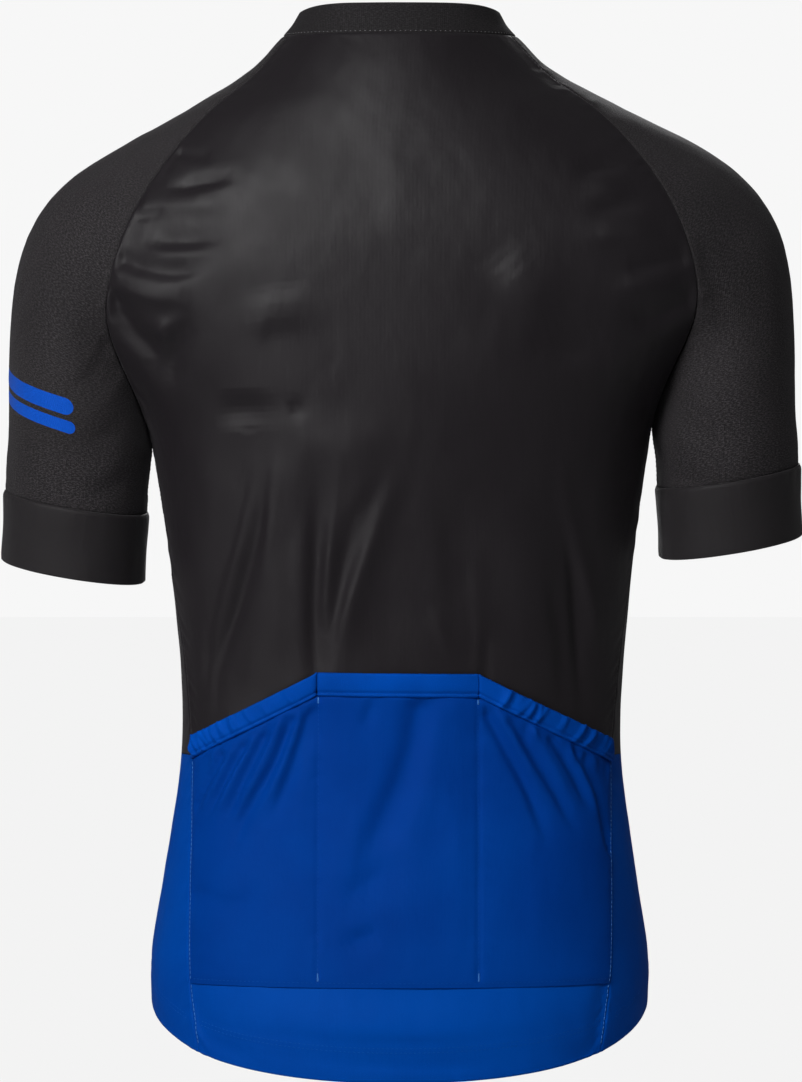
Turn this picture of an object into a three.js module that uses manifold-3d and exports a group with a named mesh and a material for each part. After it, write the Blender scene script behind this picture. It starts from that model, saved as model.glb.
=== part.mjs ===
// A short-sleeved cycling jersey, filled out as it is when worn, with nobody in it.
// Millimetres, +Z up, the front faces -Y and the wearer's left is +X. The origin is the
// middle of the neck opening, level with the points where the collar meets the shoulders.
//
// Every cloth piece is a thin wall. Its outer face comes from level sections of the worn
// form: at each station h a section runs from the centre line to the raglan seam, and on
// round the arm. Below the underarm the body and the two sleeves are separate tubes.
import * as THREE from "three";
import { mergeVertices } from "three/addons/utils/BufferGeometryUtils.js";
import Module from "manifold-3d";

const wasm = await Module();
wasm.setup();

// Cloth and seams
const CLOTH = 1.2;
const DOUBLE_CLOTH = 1.8;
const SEAM_GAP = 0.36;

// Stations, measured down from the neck
const NECK = 1;
const UNDERARM = -265;
const HEM = -640;
const CUFF_TOP = -305;
const CUFF_BOTTOM = -350;

// How far the section lines rise or fall from their station
const BACK_NECK_DROP = 3;
const FRONT_NECK_DROP = 45;
const NECK_DROP_ENDS = -200;
const TAIL_DROP = 38;
const SIDE_HEM_RISE = 11;
const FRONT_HEM_RISE = 28;
const HEM_SHAPE_STARTS = -470;

// Collar: how high it stands and how far it leans in, at the front, the sides and the back
const COLLAR = {
  front: { height: 19, lean: 7.5 },
  side: { height: 14.5, lean: 10.5 },
  back: { height: 19.5, lean: 6.5 },
};

// Zip: the half-width of its opening, its teeth and its tapes
const ZIP_OPENING = 5;
const TEETH_HALF = 2.6;
const TEETH_HEIGHT = 1.3;
const TAPE_HALF = 11;
const TAPE = 1;
const SPLIT_HALF = 1.85;
const TEETH_REACH = 3.85;

// Grid sizes
const HALF_BACK_COLUMNS = 12;
const FRONT_COLUMNS = 10;
const SLEEVE_COLUMNS = 18;
const COLLAR_COLUMNS = 36;

// Centre back and centre front depth of the body at each station.
const DEPTH = [
  { h: 1, back: 62, front: 74 },
  { h: -6, back: 65.5, front: 77 },
  { h: -15, back: 70, front: 80 },
  { h: -41, back: 80, front: 90 },
  { h: -94, back: 96, front: 105 },
  { h: -150, back: 106, front: 116 },
  { h: -220, back: 108, front: 121 },
  { h: -265, back: 105, front: 120 },
  { h: -345, back: 93, front: 113 },
  { h: -440, back: 81, front: 105 },
  { h: -490, back: 85, front: 104 },
  { h: -543, back: 98, front: 105 },
  { h: -595, back: 110, front: 107 },
  { h: -622, back: 115, front: 108 },
  { h: -640, back: 114, front: 107 },
];

// Half-width of the body below the underarm, and where the side seam lies on the back
// quarter: 0 is the centre back, 1 is the side line.
const SIDE = [
  { h: -265, half: 164.5, seam: 1 },
  { h: -292, half: 160.2, seam: 0.97 },
  { h: -318, half: 156.5, seam: 0.94 },
  { h: -371, half: 150.5, seam: 0.88 },
  { h: -437, half: 145.2, seam: 0.82 },
  { h: -463, half: 145, seam: 0.79 },
  { h: -490, half: 147, seam: 0.74 },
  { h: -543, half: 154.5, seam: 0.68 },
  { h: -595, half: 161.8, seam: 0.62 },
  { h: -622, half: 165, seam: 0.58 },
  { h: -640, half: 164, seam: 0.56 },
];

// The raglan seam on the back and on the front: its place in the section, and the way the
// body and the sleeve run through it, in degrees turned from straight across.
const RAGLAN_BACK = [
  { h: 1, x: 72.5, y: 22, body: 66, sleeve: 66 },
  { h: -6, x: 79, y: 24, body: 62, sleeve: 62 },
  { h: -15, x: 86.5, y: 28, body: 57, sleeve: 57 },
  { h: -28, x: 98.5, y: 34, body: 47, sleeve: 47 },
  { h: -44, x: 121, y: 42, body: 39, sleeve: 39 },
  { h: -68, x: 144, y: 52, body: 32, sleeve: 32 },
  { h: -94, x: 163, y: 62, body: 29, sleeve: 29 },
  { h: -113, x: 174, y: 67, body: 28, sleeve: 27 },
  { h: -133, x: 182.5, y: 70.5, body: 29, sleeve: 24 },
  { h: -156, x: 189, y: 71.5, body: 31, sleeve: 19 },
  { h: -176, x: 192, y: 69, body: 37, sleeve: 10 },
  { h: -190, x: 191, y: 62.5, body: 45, sleeve: -6 },
  { h: -206, x: 185.5, y: 51.5, body: 56, sleeve: -30 },
  { h: -229, x: 175.5, y: 34, body: 70, sleeve: -60 },
  { h: -249, x: 168, y: 15.5, body: 82, sleeve: -79 },
  { h: -265, x: 164.5, y: 0, body: 90, sleeve: -90 },
];
const RAGLAN_FRONT = [
  { h: 1, x: 60, y: 46, body: 49, sleeve: 49 },
  { h: -6, x: 66, y: 49, body: 49, sleeve: 49 },
  { h: -15, x: 74, y: 52, body: 47, sleeve: 47 },
  { h: -28, x: 84, y: 57, body: 43, sleeve: 43 },
  { h: -44, x: 101, y: 65, body: 38, sleeve: 38 },
  { h: -68, x: 123, y: 75, body: 33, sleeve: 33 },
  { h: -94, x: 143, y: 84, body: 31, sleeve: 31 },
  { h: -113, x: 155, y: 88.5, body: 31, sleeve: 29 },
  { h: -133, x: 163.5, y: 90, body: 33, sleeve: 25 },
  { h: -156, x: 171, y: 87, body: 38, sleeve: 17 },
  { h: -176, x: 174.5, y: 80, body: 46, sleeve: 4 },
  { h: -190, x: 175.5, y: 72, body: 54, sleeve: -14 },
  { h: -206, x: 174.5, y: 59.5, body: 63, sleeve: -36 },
  { h: -229, x: 170.5, y: 38.5, body: 75, sleeve: -62 },
  { h: -249, x: 166.8, y: 18, body: 84, sleeve: -80 },
  { h: -265, x: 164.5, y: 0, body: 90, sleeve: -90 },
];

// Outer line of the shoulder and sleeve, the sleeve's inner line below the underarm, how
// far the arm leans forward, and how much deeper than round the sleeve is.
const SLEEVE = [
  { h: 1, outer: 77, inner: 164.5, forward: 0, full: 1 },
  { h: -4, outer: 82, inner: 164.5, forward: 0, full: 1 },
  { h: -9, outer: 86, inner: 164.5, forward: 0, full: 1 },
  { h: -15, outer: 91, inner: 164.5, forward: 0, full: 1 },
  { h: -28, outer: 109.5, inner: 164.5, forward: 0, full: 1 },
  { h: -41, outer: 132, inner: 164.5, forward: 0, full: 1 },
  { h: -54, outer: 156.5, inner: 164.5, forward: 0, full: 1.02 },
  { h: -67, outer: 182, inner: 164.5, forward: 0, full: 1.04 },
  { h: -81, outer: 206, inner: 164.5, forward: 0, full: 1.06 },
  { h: -94, outer: 223.5, inner: 164.5, forward: 0, full: 1.08 },
  { h: -107, outer: 235.5, inner: 164.5, forward: 0, full: 1.1 },
  { h: -133, outer: 249.5, inner: 164.5, forward: 0, full: 1.13 },
  { h: -160, outer: 255.8, inner: 164.5, forward: 0, full: 1.15 },
  { h: -200, outer: 259, inner: 164.5, forward: 0, full: 1.2 },
  { h: -265, outer: 260, inner: 164.5, forward: 1, full: 1.24 },
  { h: -285, outer: 261.5, inner: 167.4, forward: 2, full: 1.23 },
  { h: -305, outer: 262, inner: 168.2, forward: 4, full: 1.2 },
  { h: -350, outer: 264.5, inner: 170, forward: 8, full: 1.18 },
];

// How much lower the wearer's left side hangs than the middle, for the body and a sleeve,
// and how far the body's middle lies to the wearer's left.
const LEAN = [
  { h: 1, body: 0, sleeve: 0, sway: 1.6 },
  { h: -41, body: 1.8, sleeve: 1.8, sway: 0.8 },
  { h: -67, body: 3, sleeve: 3, sway: 0 },
  { h: -133, body: 4, sleeve: 4, sway: 0 },
  { h: -265, body: 6.5, sleeve: 6.5, sway: 0 },
  { h: -305, body: 5.2, sleeve: 8.8, sway: 0 },
  { h: -350, body: 3, sleeve: 8.2, sway: 0 },
  { h: -430, body: 0, sleeve: 8.2, sway: 0 },
  { h: -540, body: 0, sleeve: 8.2, sway: 1.2 },
  { h: -640, body: 0, sleeve: 8.2, sway: 1.6 },
];

// The largest folds of the back, from one end to the other, in x and z. A fold's height
// is out of the cloth, or into it where it is negative.
const BACK_FOLDS = [
  { x1: 50, z1: -275, x2: 57, z2: -414, width: 13, height: -4.5 },
  { x1: 34, z1: -255, x2: 43, z2: -410, width: 15, height: 3.4 },
  { x1: 92, z1: -255, x2: 122, z2: -446, width: 15, height: -4 },
  { x1: 72, z1: -262, x2: 88, z2: -428, width: 15, height: 2.8 },
  { x1: 4, z1: -270, x2: 16, z2: -404, width: 20, height: -2.2 },
  { x1: -96, z1: -300, x2: -119, z2: -448, width: 15, height: -4 },
  { x1: -80, z1: -310, x2: -96, z2: -436, width: 15, height: 2.6 },
  { x1: -44, z1: -290, x2: -60, z2: -410, width: 18, height: -2.6 },
  { x1: 96, z1: -128, x2: 178, z2: -134, width: 15, height: -2.6 },
  { x1: 104, z1: -158, x2: 182, z2: -168, width: 14, height: 2.2 },
];

// Pocket: its top edge on the back, in x and z. It is straight in the middle and slants
// down to the side seams, and each of its three stretches has its own folded band.
const POCKET_TOP = [
  { x: 136.6, z: -459.5, gathers: 13, columns: 8 },
  { x: 54, z: -417, gathers: 0, columns: 8 },
  { x: -49, z: -418, gathers: 15, columns: 8 },
  { x: -136.2, z: -461.5 },
];
const BAND_HEIGHT = 15;
const BAND_PUFF = 0.9;
const GATHER_HEIGHT = 1.2;
const POINTS_PER_GATHER = 3;
const POCKET_BOTTOM = -618;
const POCKET_OFF = 0.7;
const POCKET_BULGE = 1.7;
const POCKET_ROWS = 9;

// The drag folds below the pocket's gathered bands
const POCKET_FOLDS = [
  { x1: 66, z1: -446, x2: 104, z2: -505, width: 10, height: 1.6 },
  { x1: 100, z1: -462, x2: 126, z2: -515, width: 10, height: 1.6 },
  { x1: -64, z1: -448, x2: -100, z2: -505, width: 10, height: 1.4 },
  { x1: -102, z1: -464, x2: -126, z2: -512, width: 10, height: 1.4 },
];

// Slider and pull, along the zip (s, down), across it (x) and out from the collar (n)
const SLIDER = { top: 0.6, bottom: 10, half: 4, plate: 1.1, clear: 0.25 };
const SLIDER_POST = { top: 1, bottom: 3.4, half: 1.5 };
const BRIDGE = { top: 3.6, bottom: 9.4, half: 1, foot: 1.2, rise: 2.55, beam: 1.1 };
const PULL = {
  s: 7.4,
  n: 2.6,
  bar: 1.2,
  sides: 10,
  short: 0.2,
  rail: 1.5,
  inner: 1.4,
  above: 0.7,
  tab: 18.5,
  half: 3.6,
  narrow: 0.5,
  window: 5.2,
  sill: 1.5,
};
const PULL_TILT = 3;
const ZIP_BOX = { half: 3.9, length: 8, aboveHem: 0.5, thick: 1.5 };

const BLACK = 0x232124;
const HEATHER = 0x2b2a2c;
const BLUE = 0x0a44a2;
const METAL = 0x2a2b2e;

const LEFT = 1;
const RIGHT = -1;
const BACK = 1;
const FRONT = -1;

const lerp = (a, b, t) => a + (b - a) * t;
const clamp = (v, low, high) => Math.min(high, Math.max(low, v));
const smooth = (low, high, v) => {
  const t = clamp((v - low) / (high - low), 0, 1);
  return t * t * (3 - 2 * t);
};

// A smooth curve through one column of a table, which doesn't overshoot between its rows.
function column(table, name) {
  const at = table.map((row) => -row.h);
  const value = table.map((row) => row[name]);
  const last = at.length - 1;
  const rise = at.slice(1).map((a, i) => (value[i + 1] - value[i]) / (a - at[i]));
  const slope = value.map((_, i) => {
    if (i === 0) return rise[0];
    if (i === last) return rise[last - 1];
    if (rise[i - 1] * rise[i] <= 0) return 0;
    const before = at[i] - at[i - 1];
    const after = at[i + 1] - at[i];
    const w1 = 2 * after + before;
    const w2 = after + 2 * before;
    return (w1 + w2) / (w1 / rise[i - 1] + w2 / rise[i]);
  });
  return (h) => {
    const a = clamp(-h, at[0], at[last]);
    let i = 0;
    while (i < last - 1 && a > at[i + 1]) i += 1;
    const step = at[i + 1] - at[i];
    const t = (a - at[i]) / step;
    const start = (1 + 2 * t) * (1 - t) ** 2 * value[i] + t * (1 - t) ** 2 * step * slope[i];
    const end = t * t * (3 - 2 * t) * value[i + 1] + t * t * (t - 1) * step * slope[i + 1];
    return start + end;
  };
}

// Every column of a table as a function of the station.
function columns(table) {
  const made = {};
  for (const name of Object.keys(table[0])) made[name] = column(table, name);
  return made;
}

const depth = columns(DEPTH);
const side = columns(SIDE);
const raglan = { [BACK]: columns(RAGLAN_BACK), [FRONT]: columns(RAGLAN_FRONT) };
const sleeve = columns(SLEEVE);
const lean = columns(LEAN);

const bezier = (p0, p1, p2, p3, t) => {
  const s = 1 - t;
  const mix = (k) => s ** 3 * p0[k] + 3 * s * s * t * p1[k] + 3 * s * t * t * p2[k] + t ** 3 * p3[k];
  return [mix(0), mix(1)];
};
const radians = (degrees) => (degrees * Math.PI) / 180;

// Where the body's section ends on one face: at the raglan seam, or at the side line.
function bodyEdge(face, h) {
  if (h <= UNDERARM) return { x: side.half(h), y: 0, turn: 90 };
  const seam = raglan[face];
  return { x: seam.x(h), y: seam.y(h), turn: seam.body(h) };
}

// The body's section on one face, from the centre line at u 0 to its edge at u 1, as
// [x, y] with both positive. FULLNESS makes it squarer than an ellipse.
const FULLNESS = 0.62;
function bodySection(face, h, u) {
  const reach = face === BACK ? depth.back(h) : depth.front(h);
  const edge = bodyEdge(face, h);
  const run = (reach - edge.y) / Math.sin(radians(edge.turn));
  const corner = [edge.x - run * Math.cos(radians(edge.turn)), reach];
  const near = [FULLNESS * corner[0], reach];
  const far = [lerp(edge.x, corner[0], FULLNESS), lerp(edge.y, corner[1], FULLNESS)];
  return bezier([0, reach], near, far, [edge.x, edge.y], u);
}

// A sleeve's section from the seam, or from the underarm, to its outer line, as [x, y].
function sleeveSection(face, h, u) {
  const seam = raglan[face];
  const start = h > UNDERARM ? [seam.x(h), seam.y(h)] : [sleeve.inner(h), 0];
  const turn = radians(h > UNDERARM ? seam.sleeve(h) : -90);
  const end = [sleeve.outer(h), 0];
  const turned = Math.PI / 2 - turn;
  const chord = Math.hypot(end[0] - start[0], end[1] - start[1]);
  const handle = ((2 / 3) * chord * Math.tan(turned / 4) * sleeve.full(h)) / Math.sin(turned / 2);
  const leave = [start[0] + handle * Math.cos(turn), start[1] - handle * Math.sin(turn)];
  return bezier(start, leave, [end[0], end[1] + handle], end, u);
}

// The height of a point of a section, which drops at the front neck. Its hem runs down from
// the front, past the side, to the tail.
const FRONT_HEM_POWER = 2.9;
const FRONT_NECK_CURVE = { power: 1.4, most: 1.02 };
function lift(h, y) {
  const neck = smooth(NECK_DROP_ENDS, NECK, h);
  const forward = (Math.max(-y, 0) / depth.front(NECK)) ** FRONT_NECK_CURVE.power;
  const front = Math.min(forward, FRONT_NECK_CURVE.most);
  const back = Math.max(y, 0) / depth.back(NECK);
  const neckLift = -neck * (BACK_NECK_DROP * back + FRONT_NECK_DROP * front);
  const hem = smooth(HEM_SHAPE_STARTS, HEM, h);
  const behind = Math.min(Math.max(y, 0) / depth.back(HEM), 1);
  const ahead = Math.min(Math.max(-y, 0) / depth.front(HEM), 1);
  const toFront = 1 - (1 - ahead) ** FRONT_HEM_POWER;
  const rise = lerp(SIDE_HEM_RISE, FRONT_HEM_RISE, toFront);
  return h + neckLift + hem * (rise - (SIDE_HEM_RISE + TAIL_DROP) * behind);
}

// One point of the body: which side, which face, station and place along the section.
function bodyPoint(which, face, h, u) {
  const [x, y] = bodySection(face, h, u);
  const across = clamp(x / side.half(UNDERARM), 0, 1);
  const z = lift(h, face * y) - which * lean.body(h) * across;
  return new THREE.Vector3(which * x + lean.sway(h), face * y, z);
}

// One point of a sleeve. Below the underarm the cuff tips up at its outer side and down
// at its back.
const CUFF_TIP_OUT = 0.165;
const CUFF_TIP_BACK = 0.1;
const CUFF_TIP_STARTS = UNDERARM + 40;
function sleevePoint(which, face, h, u) {
  const [x, y] = sleeveSection(face, h, u);
  const below = smooth(CUFF_TIP_STARTS, CUFF_TOP, h);
  const across = clamp(x / side.half(UNDERARM), 0, 1);
  const inner = sleeve.inner(h);
  const tip = CUFF_TIP_OUT * Math.max(x - inner, 0) - CUFF_TIP_BACK * face * y;
  const z = lift(h, face * y) - which * lean.sleeve(h) * across + below * tip;
  return new THREE.Vector3(which * x + lean.sway(h), face * y - sleeve.forward(h), z);
}

// A row of points, evenly spaced along a path that is given as a function of 0 to 1.
const FINE_STEPS = 160;
function evenly(path, steps) {
  const fine = [];
  for (let i = 0; i <= FINE_STEPS; i += 1) fine.push(path(i / FINE_STEPS));
  const along = [0];
  for (let i = 1; i <= FINE_STEPS; i += 1) along.push(along[i - 1] + fine[i].distanceTo(fine[i - 1]));
  const row = [];
  let k = 0;
  for (let i = 0; i <= steps; i += 1) {
    const want = (along[FINE_STEPS] * i) / steps;
    while (k < FINE_STEPS - 1 && along[k + 1] < want) k += 1;
    const t = (want - along[k]) / Math.max(along[k + 1] - along[k], 1e-9);
    row.push(fine[k].clone().lerp(fine[k + 1], clamp(t, 0, 1)));
  }
  return row;
}

// The place along a section, from the centre line, that lies x out from it.
const HALVINGS = 40;
function placeAt(face, h, x) {
  let low = 0;
  let high = 1;
  for (let i = 0; i < HALVINGS; i += 1) {
    const middle = (low + high) / 2;
    if (bodySection(face, h, middle)[0] < x) low = middle;
    else high = middle;
  }
  return (low + high) / 2;
}

// The body's side seam, on the back quarter. Above the underarm it is the raglan seam.
const sideSeam = (h) => (h > UNDERARM ? 1 : side.seam(h));

// The back's half row, from the centre back to the seam.
const backHalfRow = (which, h, steps) => evenly((t) => bodyPoint(which, BACK, h, t * sideSeam(h)), steps);

// The front's row, from the zip to the seam, round the side line where the seam is behind.
function frontRow(which, h, steps) {
  const start = placeAt(FRONT, h, ZIP_OPENING);
  const behind = 1 - sideSeam(h);
  return evenly((t) => {
    const s = start + t * (1 - start + behind);
    return s <= 1 ? bodyPoint(which, FRONT, h, s) : bodyPoint(which, BACK, h, 2 - s);
  }, steps);
}

// A sleeve's row, from its back edge round the outside to its front edge.
function sleeveRow(which, h, steps) {
  return evenly((t) => {
    if (t <= 0.5) return sleevePoint(which, BACK, h, 2 * t);
    return sleevePoint(which, FRONT, h, 2 - 2 * t);
  }, steps);
}

// Normals of a grid of points, square to its rows and columns.
function normalsOf(grid) {
  const rows = grid.length;
  const count = grid[0].length;
  return grid.map((row, j) =>
    row.map((_, i) => {
      const along = grid[j][Math.min(i + 1, count - 1)].clone().sub(grid[j][Math.max(i - 1, 0)]);
      const down = grid[Math.min(j + 1, rows - 1)][i].clone().sub(grid[Math.max(j - 1, 0)][i]);
      return along.cross(down).normalize();
    })
  );
}

// Turns normals to point out of the garment: away from the axis of the tube they are on.
function facingOut(grid, normals, axis) {
  let sum = 0;
  grid.forEach((row, j) => row.forEach((p, i) => (sum += normals[j][i].dot(p.clone().sub(axis(p))))));
  return sum < 0 ? normals.map((row) => row.map((n) => n.negate())) : normals;
}
const bodyAxis = (p) => new THREE.Vector3(0, 0, p.z);
const sleeveAxis = (which) => (p) => new THREE.Vector3(which * 190, 0, Math.min(p.z, -170));

// Draws the four edges of a grid in by half the seam gap, square to each edge.
function withSeamGaps(grid, gaps) {
  const rows = grid.length - 1;
  const count = grid[0].length - 1;
  const moved = grid.map((row) => row.map((p) => p.clone()));
  const pull = (j, i, dj, di, gap) => {
    const [stepDown, stepAcross] = di ? [1, 0] : [0, 1];
    const after = grid[Math.min(j + stepDown, rows)][Math.min(i + stepAcross, count)];
    const before = grid[Math.max(j - stepDown, 0)][Math.max(i - stepAcross, 0)];
    const edge = after.clone().sub(before).normalize();
    const inward = grid[j + dj][i + di].clone().sub(grid[j][i]);
    inward.addScaledVector(edge, -inward.dot(edge)).normalize();
    moved[j][i].addScaledVector(inward, gap);
  };
  for (let j = 0; j <= rows; j += 1) {
    pull(j, 0, 0, 1, gaps.start ?? SEAM_GAP / 2);
    pull(j, count, 0, -1, gaps.end ?? SEAM_GAP / 2);
  }
  for (let i = 0; i <= count; i += 1) {
    pull(0, i, 1, 0, gaps.top ?? SEAM_GAP / 2);
    pull(rows, i, -1, 0, gaps.bottom ?? 0);
  }
  return moved;
}

// Adds up the folds that pass a place on a panel: a soft ridge or trough along each line.
function foldHeight(folds, x, z) {
  let height = 0;
  for (const f of folds) {
    const dx = f.x2 - f.x1;
    const dz = f.z2 - f.z1;
    const t = ((x - f.x1) * dx + (z - f.z1) * dz) / (dx * dx + dz * dz);
    const within = clamp(t, 0, 1);
    const away = Math.hypot(x - lerp(f.x1, f.x2, within), z - lerp(f.z1, f.z2, within));
    const taper = Math.sqrt(Math.max(0, 1 - (2 * within - 1) ** 4));
    height += f.height * taper * Math.exp(-((away / f.width) ** 2));
  }
  return height;
}

// A closed wall between an outer and an inner grid.
function wallGeometry(outer, inner) {
  const rows = outer.length;
  const count = outer[0].length;
  const layer = rows * count;
  const positions = [...outer.flat(), ...inner.flat()].flatMap((p) => [p.x, p.y, p.z]);
  const index = [];
  const at = (side, j, i) => side * layer + j * count + i;
  const quad = (a, b, c, d) => index.push(a, b, c, a, c, d);
  for (let j = 0; j < rows - 1; j += 1) {
    for (let i = 0; i < count - 1; i += 1) {
      quad(at(0, j, i), at(0, j, i + 1), at(0, j + 1, i + 1), at(0, j + 1, i));
      quad(at(1, j, i), at(1, j + 1, i), at(1, j + 1, i + 1), at(1, j, i + 1));
    }
  }
  for (let i = 0; i < count - 1; i += 1) {
    quad(at(0, 0, i + 1), at(0, 0, i), at(1, 0, i), at(1, 0, i + 1));
    quad(at(0, rows - 1, i), at(0, rows - 1, i + 1), at(1, rows - 1, i + 1), at(1, rows - 1, i));
  }
  for (let j = 0; j < rows - 1; j += 1) {
    quad(at(0, j, 0), at(0, j + 1, 0), at(1, j + 1, 0), at(1, j, 0));
    quad(at(0, j + 1, count - 1), at(0, j, count - 1), at(1, j, count - 1), at(1, j + 1, count - 1));
  }
  return closedGeometry(positions, index);
}

// A closed solid through rings of points. Its flat ends are fans about one corner.
function tubeGeometry(rings, corner) {
  const around = rings[0].length;
  const last = (rings.length - 1) * around;
  const index = [];
  for (let j = 0; j < last; j += around) {
    for (let i = 0; i < around; i += 1) {
      const [a, b] = [j + i, j + ((i + 1) % around)];
      index.push(a, b, b + around, a, b + around, a + around);
    }
  }
  for (let k = 1; k < around - 1; k += 1) {
    const [a, b] = [(corner + k) % around, (corner + k + 1) % around];
    index.push(corner, b, a, last + corner, last + a, last + b);
  }
  return closedGeometry(rings.flat().flatMap((p) => [p.x, p.y, p.z]), index);
}

// A geometry whose faces all point out of it.
function closedGeometry(positions, index) {
  let volume = 0;
  const vertex = (k) => new THREE.Vector3().fromArray(positions, 3 * k);
  for (let k = 0; k < index.length; k += 3) {
    volume += vertex(index[k]).dot(vertex(index[k + 1]).cross(vertex(index[k + 2])));
  }
  if (volume < 0) {
    for (let k = 0; k < index.length; k += 3) [index[k + 1], index[k + 2]] = [index[k + 2], index[k + 1]];
  }
  const geometry = new THREE.BufferGeometry();
  geometry.setAttribute("position", new THREE.Float32BufferAttribute(positions, 3));
  geometry.setIndex(index);
  geometry.computeVertexNormals();
  return geometry;
}

// A cloth panel: its grid of points on the worn form, moved out by relief(point, j, i),
// and a wall of the given thickness behind them.
function panelGeometry(grid, axis, { thickness = CLOTH, relief = () => 0, gaps = {} }) {
  const normals = facingOut(grid, normalsOf(grid), axis);
  const edged = withSeamGaps(grid, gaps);
  const moved = (depthIn) =>
    edged.map((row, j) =>
      row.map((p, i) => p.clone().addScaledVector(normals[j][i], relief(grid[j][i], j, i) - depthIn))
    );
  return wallGeometry(moved(0), moved(thickness));
}

const group = new THREE.Group();
const cloth = (color) => new THREE.MeshStandardMaterial({ color, roughness: 0.75, metalness: 0 });
const blackCloth = cloth(BLACK);
const heatherCloth = cloth(HEATHER);
const blueCloth = cloth(BLUE);
const darkMetal = new THREE.MeshStandardMaterial({ color: METAL, roughness: 0.4, metalness: 0.8 });

function add(name, geometry, material, frame = group) {
  const mesh = new THREE.Mesh(geometry, material);
  mesh.name = name;
  frame.add(mesh);
}

// Stations of the rows, close together where the shoulder is flat.
const YOKE_ROWS = [1, -5, -11, -18, -28, -41, -54, -67, -81, -95];
const ARMHOLE_ROWS = [-113, -133, -156, -176, -190, -206, -229, -249, -265];
const SHOULDER_ROWS = [...YOKE_ROWS, ...ARMHOLE_ROWS];
const BODY_ROWS = 13;
const bodyStations = [...SHOULDER_ROWS];
for (let k = 1; k <= BODY_ROWS; k += 1) bodyStations.push(lerp(UNDERARM, HEM, k / BODY_ROWS));

// Back: one piece from side seam to side seam, with its largest folds.
const SEAM_FADE = 12;
function makeBack() {
  const grid = bodyStations.map((h) => [
    ...backHalfRow(RIGHT, h, HALF_BACK_COLUMNS).reverse(),
    ...backHalfRow(LEFT, h, HALF_BACK_COLUMNS).slice(1),
  ]);
  const relief = (p, j, i) => {
    const edges = Math.min(p.distanceTo(grid[j][0]), p.distanceTo(grid[j][grid[j].length - 1]));
    return foldHeight(BACK_FOLDS, p.x, p.z) * smooth(0, SEAM_FADE, edges);
  };
  add("back", panelGeometry(grid, bodyAxis, { relief }), blackCloth);
}

// Fronts: one piece each side of the zip, reaching round to the side seams.
function makeFront(which, name) {
  const grid = bodyStations.map((h) => frontRow(which, h, FRONT_COLUMNS));
  add(name, panelGeometry(grid, bodyAxis, { gaps: { start: 0 } }), blackCloth);
}

// Raglan sleeves, each one piece that closes under the arm, and their cuffs.
const SLEEVE_END_ROWS = [-285, CUFF_TOP];
const CUFF_ROWS = [CUFF_TOP, -310, -330, CUFF_BOTTOM];
const CUFF_STEP = 1.1;
const CUFF_SINK = 0.4;
function makeSleeve(which, name) {
  const grid = [...SHOULDER_ROWS, ...SLEEVE_END_ROWS].map((h) => sleeveRow(which, h, SLEEVE_COLUMNS));
  const gaps = { bottom: SEAM_GAP / 2 };
  add(name, panelGeometry(grid, sleeveAxis(which), { gaps }), heatherCloth);
}
function makeCuff(which, name) {
  const grid = CUFF_ROWS.map((h) => sleeveRow(which, h, SLEEVE_COLUMNS));
  const relief = (p, j) => (j <= 1 ? CUFF_STEP : CUFF_SINK);
  add(name, panelGeometry(grid, sleeveAxis(which), { thickness: DOUBLE_CLOTH, relief }), blackCloth);
}

// The neck seam as one half loop from the zip to the centre back, as a path of 0 to 1. It
// passes the front, the two halves of the sleeve's top and the back.
const NECK_FRONT_ENDS = 0.4;
const NECK_SIDE = 0.55;
const NECK_BACK_STARTS = 0.65;
function neckHalfLoop(which) {
  const front = placeAt(FRONT, NECK, ZIP_OPENING);
  const share = (t, from, to) => (t - from) / (to - from);
  return (t) => {
    if (t < NECK_FRONT_ENDS) {
      return bodyPoint(which, FRONT, NECK, lerp(front, 1, share(t, 0, NECK_FRONT_ENDS)));
    }
    if (t < NECK_SIDE) return sleevePoint(which, FRONT, NECK, share(t, NECK_FRONT_ENDS, NECK_SIDE));
    if (t < NECK_BACK_STARTS) {
      return sleevePoint(which, BACK, NECK, 1 - share(t, NECK_SIDE, NECK_BACK_STARTS));
    }
    return bodyPoint(which, BACK, NECK, 1 - share(t, NECK_BACK_STARTS, 1));
  };
}

// The collar's row a given share of the way up: it stands up and leans in on the neck.
const COLLAR_SHARES = [1, 0.5, 0];
const COLLAR_END_DEPTH = 58;
const COLLAR_CURVE = 1.3;
function collarPoint(base, share) {
  const out = new THREE.Vector2(base.x - lean.sway(NECK), base.y).normalize();
  const end = base.y > 0 ? COLLAR.back : COLLAR.front;
  const round = smooth(0, COLLAR_END_DEPTH, Math.abs(base.y));
  const leanIn = lerp(COLLAR.side.lean, end.lean, round) * (1 - (1 - share) ** COLLAR_CURVE);
  const height = lerp(COLLAR.side.height, end.height, round) * share;
  return new THREE.Vector3(base.x - out.x * leanIn, base.y - out.y * leanIn, base.z + height);
}
function collarRow(share) {
  const half = (which) => {
    const base = evenly(neckHalfLoop(which), COLLAR_COLUMNS / 2);
    return base.map((p) => collarPoint(p, share));
  };
  return [...half(LEFT), ...half(RIGHT).reverse().slice(1)];
}
function makeCollar() {
  const grid = COLLAR_SHARES.map(collarRow);
  const gaps = { start: 0, end: 0, top: 0, bottom: SEAM_GAP / 2 };
  add("collar", panelGeometry(grid, bodyAxis, { thickness: DOUBLE_CLOTH, gaps }), heatherCloth);
}

// A point of the back found from its x and z, which stay clear of the sleeves.
const CORRECTIONS = 12;
function onBack(x, z) {
  let h = z;
  let place = 0;
  let which = LEFT;
  for (let i = 0; i < CORRECTIONS; i += 1) {
    const across = x - lean.sway(h);
    which = across < 0 ? RIGHT : LEFT;
    place = placeAt(BACK, h, Math.abs(across));
    h += z - bodyPoint(which, BACK, h, place).z;
  }
  return bodyPoint(which, BACK, h, place);
}

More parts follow.
